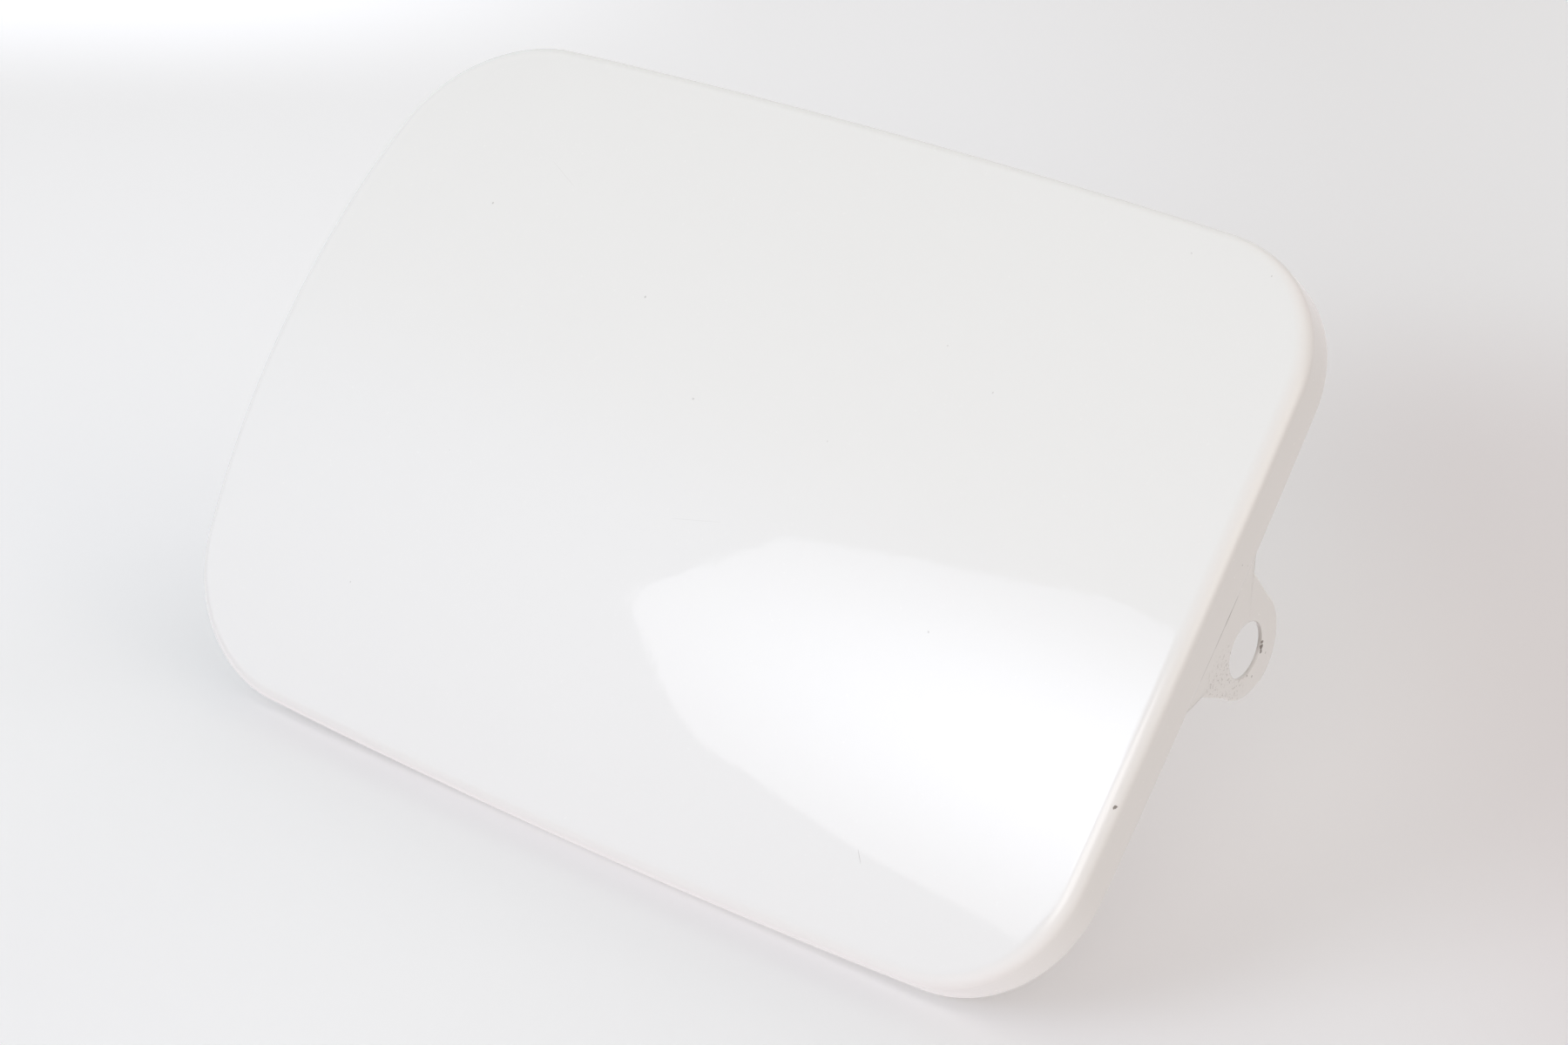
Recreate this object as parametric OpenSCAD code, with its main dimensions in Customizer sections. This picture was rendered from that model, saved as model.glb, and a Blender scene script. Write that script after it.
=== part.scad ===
// Fuel filler flap of a car, in pressed and painted steel, with its pin hinge.
// Millimetres, drawn shut. x runs along the flap towards the lock eye, y into the car, z up.
// The origin lies between the two bolt holes, on the back of the hinge bracket.
// The modules draw from the middle of the flap's face, and from_face() moves them to that origin.

/* [Flap outline] */
// Length of the flap along x
flap_length = 190; // [180:1:215]
// Height of the flap along z
flap_height = 129; // [115:1:150]
// Radius of the bowed short ends
end_bow_r = 388; // [300:1:900]
// Radius of the bowed long sides
side_bow_r = 1833; // [1200:1:4000]
// Radius of the four corners
corner_r = 25.5; // [18:0.5:34]
// Radius of the face, which is curved from top to bottom
face_r = 232; // [200:1:400]

/* [Flap section] */
// Thickness of the flap's sheet
skin_t = 0.8; // [0.6:0.1:1.2]
// Outer radius of the rolled edge
edge_roll_r = 2.6; // [1.8:0.1:3.4]
// Depth of the rim, from the face to its free edge
rim_depth = 8.8; // [7.5:0.1:10]

/* [Lock eye] */
// Diameter of the hole that the lock's bolt enters
eye_hole_d = 9.2; // [7:0.1:11]
// Depth of the hole's centre behind the face
eye_hole_depth = 18.5; // [17:0.1:24]
// Height of the lock eye above the middle of the flap
eye_height = 3.3; // [-8:0.1:8]
// Radius of the lock eye's round tip
eye_tip_r = 9.2; // [8:0.1:12]
// Half width of the lock eye where it leaves the rim
eye_root_half = 10.2; // [9:0.1:14]
// Radius of the hollow fillets between the lock eye and the rim
eye_fillet_r = 3.6; // [2:0.1:6]

/* [Hinge pin] */
// Distance of the hinge pin from the flap's hinged end
pin_inset = 14; // [14:0.5:16]
// Depth of the hinge pin behind the face
pin_depth = 15; // [15:0.5:18]
// Diameter of the hinge pin
pin_d = 6; // [5:0.1:6.4]
// Angle through which the flap opens
open_angle = 80; // [60:1:84]
// Running clearance round the pin, on the radius
pin_play = 0.05; // [0.02:0.01:0.1]

/* [Hinge plate] */
// Thickness of the plate welded inside the flap
plate_t = 1.2; // [0.8:0.1:1.6]
// Length of the hinge plate along x
plate_length = 50; // [46:1:66]
// Height of the hinge plate along z
plate_height = 66; // [60:1:80]
// Depth of the plate's raised seat behind the face
seat_depth = 8; // [7.8:0.1:8.6]

/* [Hinge arm] */
// Thickness of the arm's sheet
arm_t = 2; // [1.6:0.1:2.4]
// Width of the arm over its two cheeks
arm_width = 40; // [36:0.5:44]
// Length of the arm's foot along x
foot_length = 26; // [24:0.5:30]
// Radius of the cams round the pin
cam_r = 7.4; // [7:0.1:7.6]
// How far the cams' two flats lie inside that radius
cam_flat = 0.5; // [0.3:0.1:0.8]

/* [Hinge bracket] */
// Thickness of the bracket's sheet
bracket_t = 2.5; // [2:0.1:3]
// Depth of the bracket's back behind the face
bracket_depth = 48; // [46:0.5:60]
// Length along x of the folds at which the two lugs rise from the back
fold_length = 20; // [16:0.5:26]
// Width of the relief slots between those folds and the bolted flange
relief_w = 2; // [1.5:0.5:6]
// Length of the bracket's bolted flange along x
flange_length = 24; // [20:0.5:32]
// Height of the bracket's bolted flange along z
flange_height = 75.6; // [72:0.2:90]
// Diameter of the two bolt holes
bolt_hole_d = 6.6; // [5:0.1:8.4]
// Distance between the two bolt holes
bolt_spacing = 58; // [56:0.5:64]

/* [Leaf spring] */
// Thickness of the spring's strip
spring_t = 0.7; // [0.5:0.1:1]
// Outer radius of the spring's bends
spring_bend_r = 4; // [3:0.1:5]

/* [Buffers] */
// Diameter of the rubber buffers at the lock end
buffer_d = 14; // [10:0.5:18]
// Distance of the buffers from the flap's lock end
buffer_inset = 32; // [26:1:40]
// Distance of the buffers from the flap's long sides
buffer_side = 22; // [20:0.5:28]
// How far the buffers stand behind the rim's free edge
buffer_proud = 3; // [1:0.1:5]
// Thickness of the rubber on the opening stops
stop_rubber_t = 0.85; // [0.5:0.05:0.9]

/* [Hidden] */
$fn = 64;

// Colours
paint_white = [0.93, 0.92, 0.91];
zinc = [0.72, 0.71, 0.66];
dark_zinc = [0.55, 0.53, 0.46];
spring_steel = [0.34, 0.35, 0.37];
bright_steel = [0.78, 0.79, 0.80];
nylon = [0.88, 0.86, 0.78];
rubber = [0.09, 0.09, 0.10];

// Clearances
seat_gap = 0.15;        // weld and sealer film between the skin and what is fixed to it
fixed_gap = 0.02;       // round a shank that is fixed in its hole
cheek_gap = 0.2;        // between a bush's flange and the bracket's lug
spring_gap = 0.3;       // between the cams and the relaxed spring
limit_gap = 0.15;       // between stop and rubber, with the flap fully open
nut_gap = 0.05;         // between the weld nuts' hole and the screw

// The frame, measured from the middle of the face. The lugs' folds and the bolts are measured
// along x from the pin
pin_x = -flap_length / 2 + pin_inset;
fold_from = 2;
fold_to = fold_from + fold_length;
bolt_reach = fold_to + relief_w + flange_length / 2;
bolts_x = pin_x + bolt_reach;

// The outline: where the bows' centres lie, and the corner's centre, where both bows are
// corner_r inside themselves
half_l = flap_length / 2;
half_h = flap_height / 2;
end_c = half_l - end_bow_r;
side_c = half_h - side_bow_r;
end_in = end_bow_r - corner_r;
side_in = side_bow_r - corner_r;
bows_apart = norm([end_c, side_c]);
along = (end_in ^ 2 - side_in ^ 2 + bows_apart ^ 2) / (2 * bows_apart);
across = sqrt(end_in ^ 2 - along ^ 2);
corner_x = end_c + (-along * end_c - across * side_c) / bows_apart;
corner_z = (along * side_c - across * end_c) / bows_apart;
end_a = atan2(corner_z, corner_x - end_c);
side_a = atan2(corner_z - side_c, corner_x);

// Steps along a quarter of the outline, round the roll, and over the face
end_steps = 6;
corner_steps = 9;
side_steps = 7;
roll_steps = 5;
face_shares = [0.22, 0.44, 0.64, 0.82, 0.94];

// A quarter of the outline, from the lock end's middle to the long side's middle
function quarter(inset) = concat(
    [for (i = [0 : end_steps - 1]) let (a = end_a * i / end_steps)
        [end_c + (end_bow_r - inset) * cos(a), (end_bow_r - inset) * sin(a)]],
    [for (i = [0 : corner_steps - 1]) let (a = end_a + (side_a - end_a) * i / corner_steps)
        [corner_x + (corner_r - inset) * cos(a), corner_z + (corner_r - inset) * sin(a)]],
    [for (i = [0 : side_steps]) let (a = side_a + (90 - side_a) * i / side_steps)
        [(side_bow_r - inset) * cos(a), side_c + (side_bow_r - inset) * sin(a)]]
);

// The whole outline, drawn inside the flap's edge by inset
function ring(inset) = let (q = quarter(inset), last = len(q) - 1) concat(
    q,
    [for (i = [last - 1 : -1 : 0]) [-q[i].x, q[i].y]],
    [for (i = [1 : last]) [-q[i].x, -q[i].y]],
    [for (i = [last - 1 : -1 : 1]) [q[i].x, -q[i].y]]
);

// Depth of the curved face at height z, and of the skin's inside
function face_at(z) = face_r - sqrt(face_r ^ 2 - z ^ 2);
function inside_at(z) = face_r - sqrt((face_r - skin_t) ^ 2 - z ^ 2);

// The edge, the direction out of it, and how steeply the face falls towards it
edge = ring(0);
outward = edge - ring(1);
inner_edge = ring(edge_roll_r);
stations = [0 : len(edge) - 1];
fall = [for (i = stations) let (z = inner_edge[i].y)
    atan(outward[i].y * z / sqrt(face_r ^ 2 - z ^ 2))];

// The roll turns from the face's fall to square. Its first line on the face, or on the skin's
// inside, lies at this inset, and its centre at this depth
function roll_inset(r, a) = edge_roll_r - r * sin(a);
roll_depth = [for (i = stations)
    let (p = edge[i] - roll_inset(edge_roll_r, fall[i]) * outward[i])
        face_at(p.y) + edge_roll_r * cos(fall[i])];

// Rings of points on the roll, on the rim's free edge and on the face. A ring on the face is
// the roll's first line, made smaller by a share
function roll_ring(r, k) = [for (i = stations)
    let (a = fall[i] + (90 - fall[i]) * k / roll_steps, p = edge[i] - roll_inset(r, a) * outward[i])
        [p.x, roll_depth[i] - r * cos(a), p.y]];
function rim_ring(inset) = [for (i = stations) let (p = edge[i] - inset * outward[i])
    [p.x, face_at(inner_edge[i].y) + rim_depth, p.y]];
function face_ring(share, t) = [for (i = stations)
    let (p = share * (edge[i] - roll_inset(edge_roll_r - t, fall[i]) * outward[i]))
        [p.x, t > 0 ? inside_at(p.y) : face_at(p.y), p.y]];

function side_rings(t) = concat(
    [for (s = face_shares) face_ring(s, t)],
    [for (k = [0 : roll_steps]) roll_ring(edge_roll_r - t, k)],
    [rim_ring(t)]
);
outside_rings = side_rings(0);
inside_rings = side_rings(skin_t);

// A closed solid from rings of points, with a point at each end
module ring_solid(rings, first, last) {
    n = len(rings[0]);
    k = len(rings);
    points = concat([first], [for (r = rings) each r], [last]);
    faces = concat(
        [for (i = [0 : n - 1]) [0, 1 + (i + 1) % n, 1 + i]],
        [for (j = [0 : k - 2], i = [0 : n - 1])
            [1 + j * n + i, 1 + j * n + (i + 1) % n, 1 + (j + 1) * n + (i + 1) % n]],
        [for (j = [0 : k - 2], i = [0 : n - 1])
            [1 + j * n + i, 1 + (j + 1) * n + (i + 1) % n, 1 + (j + 1) * n + i]],
        [for (i = [0 : n - 1]) [1 + n * k, 1 + n * (k - 1) + i, 1 + n * (k - 1) + (i + 1) % n]]
    );
    polyhedron(points = points, faces = faces);
}

// Moves a piece drawn from the middle of the face to the part's frame
module from_face() {
    translate([-bolts_x, -bracket_depth, 0]) children();
}

// Moves a piece drawn round the hinge pin to the part's frame
module from_pin() {
    from_face() translate([pin_x, pin_depth, 0]) children();
}

// Extrudes a drawing in x and z into the car, from one depth to another
module deep(from, to) {
    translate([0, to, 0]) rotate([90, 0, 0]) linear_extrude(to - from) children();
}

// Extrudes a drawing in y and z along x
module along_x(from, to) {
    translate([from, 0, 0]) rotate([90, 0, 90]) linear_extrude(to - from) children();
}

// Extrudes a drawing in x and y between two heights
module between(from, to) {
    translate([0, 0, from]) linear_extrude(to - from) children();
}

// The solid cylinder that the face lies on, at a distance inside the face
module face_cylinder(inside) {
    translate([-flap_length, face_r, 0]) rotate([0, 90, 0])
        cylinder(r = face_r - inside, h = 2 * flap_length, $fn = 360);
}

module rounded_rect(w, h, r) {
    square([w - 2 * r, h], center = true);
    square([w, h - 2 * r], center = true);
    for (x = [-1, 1], y = [-1, 1]) translate([x * (w / 2 - r), y * (h / 2 - r)]) circle(r);
}

// A U of sheet, seen end on: open towards -x, with rounded bends at its back
module u_section(width, length, t, bend_r) {
    difference() {
        u_outline(width, length, bend_r);
        translate([-t, 0]) u_outline(width - 2 * t, length, bend_r - t);
    }
}

module u_outline(width, length, r) {
    translate([-length, -width / 2]) square([length - r, width]);
    translate([-length, -width / 2 + r]) square([length, width - 2 * r]);
    for (s = [-1, 1]) translate([-r, s * (width / 2 - r)]) circle(r);
}

// Where the tangent from point p touches a circle of radius r round the origin
function touch(p, r, side) = let (a = atan2(p.y, p.x) + side * acos(r / norm(p)))
    [r * cos(a), r * sin(a)];

// The outer panel: face, rolled edge and rim, and the lock eye that carries on the rim
eye_embed = 2;          // how far the eye's sheet runs up inside the rim
eye_slack = 0.05;       // keeps the eye's faces inside the rim's

module lock_eye_outline() {
    translate([eye_hole_depth, eye_height]) circle(eye_tip_r);
    polygon([
        [rim_depth - eye_embed, eye_height - eye_root_half],
        [rim_depth + 2, eye_height - eye_root_half],
        [eye_hole_depth, eye_height - eye_tip_r],
        [eye_hole_depth, eye_height + eye_tip_r],
        [rim_depth + 2, eye_height + eye_root_half],
        [rim_depth - eye_embed, eye_height + eye_root_half]
    ]);
    for (side = [-1, 1]) difference() {
        translate([rim_depth - eye_embed, eye_height + side * (eye_root_half + eye_fillet_r / 2)])
            square([2 * eye_embed + 2 * eye_fillet_r, eye_fillet_r], center = true);
        translate([rim_depth + eye_fillet_r + face_at(eye_root_half), eye_height
            + side * (eye_root_half + eye_fillet_r)]) circle(eye_fillet_r);
        translate([rim_depth + eye_fillet_r + face_at(eye_root_half), -flap_height])
            square([2 * eye_fillet_r, 2 * flap_height]);
    }
}

module lock_eye() {
    bow = end_bow_r - eye_slack;
    difference() {
        intersection() {
            translate([end_c, 0, 0]) rotate([-90, 0, 0])
                cylinder(r = bow, h = eye_hole_depth + 2 * eye_tip_r, $fn = 720);
            along_x(half_l - 4 * skin_t, half_l) lock_eye_outline();
        }
        translate([end_c, -1, 0]) rotate([-90, 0, 0])
            cylinder(r = bow - skin_t + 2 * eye_slack, h = eye_hole_depth + 3 * eye_tip_r, $fn = 720);
        translate([half_l - 5 * skin_t, eye_hole_depth, eye_height]) rotate([0, 90, 0])
            cylinder(d = eye_hole_d, h = 10 * skin_t);
    }
}

module outer_panel() {
    color(paint_white) from_face() {
        ring_solid(
            concat(outside_rings, [for (i = [len(inside_rings) - 1 : -1 : 0]) inside_rings[i]]),
            [0, 0, 0], [0, skin_t, 0]
        );
        lock_eye();
    }
}

// The hinge plate: a pressing welded to the skin's inside, with a raised seat for the arm
foot_x = pin_x + 11;                    // where the arm's foot begins
seat_margin = 3;                        // seat outside the arm's foot
seat_length = foot_length + 2 * seat_margin;
seat_height = arm_width + 2 * seat_margin;
seat_mid = foot_x + foot_length / 2;
seat_corner_r = 5;
drain_d = 8;                            // the hole through seat and foot, between the screws
plate_from = pin_x - 6;
screw_x = foot_length / 4;
screw_z = arm_width / 4 + 1;
screw_d = 5;

module at_screws() {
    for (x = [-1, 1], z = [-1, 1]) translate([seat_mid + x * screw_x, 0, z * screw_z]) children();
}

// A cylinder along y, from one depth to another
module stud(d, from, to) {
    translate([0, from, 0]) rotate([-90, 0, 0]) cylinder(d = d, h = to - from);
}

// The raised seat's block, a distance t inside the sheet's outer face: bent all round its top
module seat_block(t) {
    r = 2 * plate_t - t;
    long = seat_length - 2 * t;
    high = seat_height - 2 * t;
    translate([seat_mid, 0, 0]) intersection() {
        deep(-1, seat_depth - t) rounded_rect(long, high, seat_corner_r - t);
        translate([0, seat_depth - t, 0]) along_x(-long, long)
            u_outline(high, 2 * seat_depth, r);
        translate([0, seat_depth - t, 0]) between(-high, high) rotate(90)
            u_outline(long, 2 * seat_depth, r);
    }
}

// The dents that the spot welds leave in the plate's back, along its two long edges
weld_r = 6;
weld_dip = 0.4;
weld_z = (seat_height + plate_height) / 4;
module weld_dents() {
    rear = face_r - skin_t - seat_gap - plate_t;
    for (k = [0 : 3], side = [-1, 1])
        translate([plate_from + plate_length * (k + 0.5) / 4, face_r, 0])
            rotate([side * asin(weld_z / rear), 0, 0])
                translate([0, weld_r - weld_dip - rear, 0]) sphere(weld_r);
}

module hinge_plate() {
    color(zinc) from_face() difference() {
        intersection() {
            face_cylinder(skin_t + seat_gap);
            union() {
                difference() {
                    deep(0, seat_depth) translate([plate_from + plate_length / 2, 0])
                        rounded_rect(plate_length, plate_height, 8);
                    face_cylinder(skin_t + seat_gap + plate_t);
                    weld_dents();
                }
                seat_block(0);
            }
        }
        seat_block(plate_t);
        at_screws() stud(screw_d + 0.5, 0, seat_depth + 1);
        translate([seat_mid, 0, 0]) stud(drain_d, 0, seat_depth + 1);
    }
}

nut_h = 4;
module weld_nuts() {
    color(dark_zinc) from_face() at_screws() difference() {
        translate([0, seat_depth - plate_t, 0]) rotate([90, 0, 0]) cylinder(d = 9.2, h = nut_h, $fn = 6);
        stud(screw_d + 2 * nut_gap, 0, seat_depth);
    }
}

// The hinge arm: a foot screwed to the seat, and two cheeks with the pin's eyes and the cams
foot_top = seat_depth + arm_t;
bush_r = pin_d / 2 + pin_play + 0.95;
stop_a = 205;                           // direction of the opening stops, seen from the pin
nose_a = stop_a + open_angle - 360;     // direction of the arm's nose, which meets them
nose_r = 10.2;
foot_edge = seat_depth - pin_depth;
cheek_rise = 6;                         // the cheek's height at the foot's far end
cheek_round = 2.5;                      // rounding of the cheek's far corner
cheek_reach = pin_depth + 2 * cam_r;    // deeper than the cheeks go

module cheek_outline() {
    far_x = foot_x - pin_x + foot_length;
    difference() {
        union() {
            circle(cam_r);
            polygon([
                [0, 0],
                [nose_r * cos(nose_a), nose_r * sin(nose_a)],
                [foot_x - pin_x - seat_margin - 0.5, foot_edge],
                [far_x, foot_edge],
                [far_x, foot_edge + cheek_rise - cheek_round],
                [far_x - cheek_round, foot_edge + cheek_rise],
                [foot_x - pin_x + 5, cam_r - cam_flat - 3.5],
                [2, cam_r - cam_flat]
            ]);
            translate([far_x - cheek_round, foot_edge + cheek_rise - cheek_round])
                circle(cheek_round);
        }
        for (a = [0, open_angle]) rotate(a) translate([-cam_r, cam_r - cam_flat])
            square([2 * cam_r, cam_r]);
        circle(bush_r + fixed_gap);
    }
}

module hinge_arm() {
    color(zinc) from_face() difference() {
        intersection() {
            translate([pin_x, pin_depth, 0]) between(-arm_width / 2, arm_width / 2) cheek_outline();
            union() {
                mirror([0, 1, 0]) translate([0, -seat_depth, 0])
                    along_x(foot_x, foot_x + foot_length + 1)
                        u_section(arm_width, cheek_reach, arm_t, 1.6 * arm_t);
                for (s = [-1, 1])
                    translate([pin_x - 2 * cam_r, 0, s * (arm_width - arm_t) / 2 - arm_t / 2])
                        cube([foot_x - pin_x + 2 * cam_r, cheek_reach, arm_t]);
            }
        }
        at_screws() stud(screw_d + 0.6, seat_depth - 1, foot_top + 1);
        translate([seat_mid, 0, 0]) stud(drain_d, seat_depth - 1, foot_top + 1);
    }
}

washer_t = 1;
module arm_washers() {
    color(bright_steel) from_face() at_screws() difference() {
        stud(9.6, foot_top, foot_top + washer_t);
        stud(screw_d + 0.4, foot_top - 1, foot_top + 2 * washer_t);
    }
}

screw_head_h = 3.2;
module arm_screws() {
    color(dark_zinc) from_face() at_screws() {
        stud(screw_d, seat_depth - plate_t - nut_h + 0.4, foot_top + washer_t + 0.5);
        translate([0, foot_top + washer_t, 0]) rotate([-90, 0, 0])
            cylinder(d = 9.24, h = screw_head_h, $fn = 6);
    }
}

// The bushes: flanged sleeves in the arm's eyes, on which the pin runs
bush_flange_t = 0.8;
bush_flange_r = 6.2;
module bush(side) {
    color(nylon) from_pin() mirror([0, 0, side < 0 ? 1 : 0]) difference() {
        union() {
            between(arm_width / 2 - arm_t - 0.4, arm_width / 2) circle(bush_r);
            between(arm_width / 2, arm_width / 2 + bush_flange_t) circle(bush_flange_r);
        }
        between(0, arm_width) circle(pin_d / 2 + pin_play);
    }
}

// The buffers: rubber blocks bonded inside the skin near the lock end
buffer_x = half_l - buffer_inset;
buffer_z = half_h - buffer_side;
module buffer(side) {
    foot_t = 2.5;
    end = rim_depth + face_at(buffer_z) + buffer_proud;
    color(rubber) from_face() intersection() {
        translate([buffer_x, 0, side * buffer_z]) rotate([-90, 0, 0]) rotate_extrude() difference() {
            union() {
                square([buffer_d / 2, inside_at(buffer_z) + foot_t + 2]);
                square([buffer_d / 2 - 2, end]);
            }
            translate([buffer_d / 2 - 2 + 1.2, end]) circle(1.8);
        }
        face_cylinder(skin_t + seat_gap);
    }
}

// The hinge bracket: two lugs folded up from a back plate that ends in a bolted flange
lug_in = arm_width / 2 + bush_flange_t + cheek_gap;
lug_out = lug_in + bracket_t;
lug_eye_r = 7;
back = bracket_depth - pin_depth;       // the back's outer face, from the pin
neck_half = lug_in - 2;                 // half the height of the neck between lugs and flange
stop_in = cam_r + 0.5;                  // the stops' reach, from the pin
stop_out = nose_r + 0.2;
stop_set = stop_rubber_t + limit_gap;   // how far their metal stands back from the arm's nose
stop_bend = 1.2 * bracket_t;
stop_ear = stop_bend + 0.4;             // the ear of the lug that each stop is bent from
stop_reach = lug_in - arm_width / 2 + arm_t + 0.8;

module lug_outline() {
    left = [fold_from, back];
    right = [fold_to, back];
    difference() {
        union() {
            circle(lug_eye_r);
            polygon([touch(left, lug_eye_r, 1), left, right, touch(right, lug_eye_r, -1), [0, 0]]);
        }
        translate([(fold_from + fold_to) / 4, back / 2]) circle(0.2 * fold_length);
    }
}

// The two opening stops: ears that stand out from the lugs' eyes, and are bent in at their ends
module stops() {
    intersection() {
        rotate(stop_a) translate([0, -stop_set, 0]) along_x(0, stop_out)
            u_section(2 * lug_out, stop_ear, bracket_t, stop_bend);
        union() {
            between(lug_in, lug_out) circle(2 * stop_out);
            between(lug_in - stop_reach, lug_out) rotate(stop_a)
                translate([stop_in, -stop_out]) square([stop_out, 2 * stop_out]);
        }
    }
}

module hinge_bracket() {
    color(zinc) from_pin() difference() {
        union() {
            intersection() {
                between(-lug_out, lug_out) lug_outline();
                translate([0, back, 0]) along_x(-2 * stop_out, 2 * fold_to)
                    u_section(2 * lug_out, back + 2 * stop_out, bracket_t, 1.6 * bracket_t);
            }
            stops();
            mirror([0, 0, 1]) stops();
            deep(back - bracket_t, back) {
                translate([bolt_reach, 0]) rounded_rect(flange_length, flange_height, 5);
                translate([fold_to - relief_w, -neck_half])
                    square([bolt_reach - fold_to + relief_w, 2 * neck_half]);
            }
        }
        between(-2 * lug_out, 2 * lug_out) circle(pin_d / 2 + fixed_gap);
        for (z = [-1, 1]) {
            translate([bolt_reach, 0, z * bolt_spacing / 2])
                stud(bolt_hole_d, back - 2 * bracket_t, back + 1);
            translate([fold_to + relief_w / 2, 0, z * neck_half])
                stud(relief_w, back - 2 * bracket_t, back + 1);
        }
        at_rivets() stud(rivet_d + 2 * fixed_gap, back - 2 * bracket_t, back + 1);
        deep(back - 2 * bracket_t, back + 1) translate([bolt_reach, 0]) rounded_rect(10, 26, 4.9);
    }
}

// The pin: headed at the top, with a groove for the clip at the bottom
pin_head_h = 2.2;
pin_washer_t = 1;
clip_t = 0.8;
groove_top = lug_out + pin_washer_t + 0.05;
module hinge_pin() {
    r = pin_d / 2;
    end = groove_top + clip_t + 2.2;
    color(bright_steel) from_pin() rotate_extrude() polygon([
        [0, lug_out + pin_head_h], [r + 1.2, lug_out + pin_head_h], [r + 2, lug_out + pin_head_h - 0.8],
        [r + 2, lug_out], [r, lug_out], [r, -groove_top], [r - 0.5, -groove_top],
        [r - 0.5, -groove_top - clip_t - 0.1], [r, -groove_top - clip_t - 0.1],
        [r, -end + 0.7], [r - 0.7, -end], [0, -end]
    ]);
}

module pin_washer() {
    color(bright_steel) from_pin() between(-lug_out - pin_washer_t, -lug_out) difference() {
        circle(pin_d / 2 + 3);
        circle(pin_d / 2 + 0.1);
    }
}

module pin_clip() {
    r = pin_d / 2;
    color(spring_steel) from_pin() between(-groove_top - clip_t - 0.05, -groove_top - 0.05)
        difference() {
            circle(r + 2.2);
            circle(r - 0.45);
            translate([-r - 3, -1.4]) square([r + 3, 2.8]);
            for (a = [60, -60]) rotate(a) translate([r + 0.6, -0.9]) square([1, 1.8]);
        }
}

// The leaf spring: a bent strip riveted to the bracket's back, whose two tines bear on the cams
spring_half = arm_width / 2 - 0.6;
tine_w = 6.5;
spring_face = cam_r + spring_gap;       // the tines' inner face, from the pin
spring_right = fold_to;
spring_base = back - bracket_t;
rivet_d = 4;
rivet_x = fold_to - 11;
rivet_z = 8;
tip_r = 3;

module at_rivets() {
    for (z = [-1, 1]) translate([rivet_x, 0, z * rivet_z]) children();
}

// A quarter turn of strip round c, in the quadrant that sx and sy point to
module strip_bend(c, r, sx, sy) {
    translate(c) intersection() {
        difference() {
            circle(r);
            circle(r - spring_t);
        }
        translate([sx < 0 ? -r : 0, sy < 0 ? -r : 0]) square(r);
    }
}

module spring_outline() {
    r = spring_bend_r;
    t = spring_t;
    bend_x = spring_right - r;
    translate([fold_from + 1, spring_base - t]) square([bend_x - fold_from - 1, t]);
    strip_bend([bend_x, spring_base - r], r, 1, 1);
    translate([spring_right - t, spring_face + r]) square([t, spring_base - spring_face - 2 * r]);
    strip_bend([bend_x, spring_face + r], r, 1, -1);
    translate([-3, spring_face]) square([bend_x + 3, t]);
    strip_bend([-3, spring_face + tip_r], tip_r, -1, -1);
}

module leaf_spring() {
    color(spring_steel) from_pin() difference() {
        between(-spring_half, spring_half) spring_outline();
        translate([-20, 0, -spring_half + tine_w])
            cube([spring_right + 14, spring_base - 10, 2 * (spring_half - tine_w)]);
        at_rivets() stud(rivet_d + 2 * fixed_gap, 0, back);
    }
}

module spring_rivets() {
    head_r = 3.6;
    head_h = 1.4;
    color(bright_steel) from_pin() at_rivets() translate([0, back, 0]) rotate([90, 0, 0])
        rotate_extrude() {
            square([rivet_d / 2, bracket_t + spring_t + 0.1]);
            translate([0, bracket_t + spring_t]) intersection() {
                square([head_r, head_h]);
                translate([0, head_h - (head_r ^ 2 + head_h ^ 2) / (2 * head_h)])
                    circle((head_r ^ 2 + head_h ^ 2) / (2 * head_h));
            }
        }
}

module stop_rubber(side) {
    color(rubber) from_pin() mirror([0, 0, side < 0 ? 1 : 0])
        between(lug_in - stop_reach, lug_in - 0.25 * bracket_t) rotate(stop_a)
            translate([stop_in, -stop_set]) square([stop_out - stop_in, stop_rubber_t]);
}

outer_panel();
hinge_plate();
weld_nuts();
hinge_arm();
arm_washers();
arm_screws();
bush(1);  // upper_bush
bush(-1);  // lower_bush
buffer(1);  // upper_buffer
buffer(-1);  // lower_buffer
hinge_bracket();
hinge_pin();
pin_washer();
pin_clip();
leaf_spring();
spring_rivets();
stop_rubber(1);  // upper_stop_rubber
stop_rubber(-1);  // lower_stop_rubber
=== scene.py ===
"""Looks of a fuel filler flap: a white painted pressing, carried by a plated pin hinge.

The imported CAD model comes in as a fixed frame. The flap's pressing is drawn again here as
one smooth sheet with the same outline, rolled edge, rim and lock eye. The hinge's parts keep
their CAD meshes, get softened edges, and every part gets its own finish.
Lengths are in metres: x runs along the flap towards the lock eye, y into the car, z up.
"""

import logging
import math
from dataclasses import dataclass, field
from enum import Enum
from functools import reduce
from typing import Sequence

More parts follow.
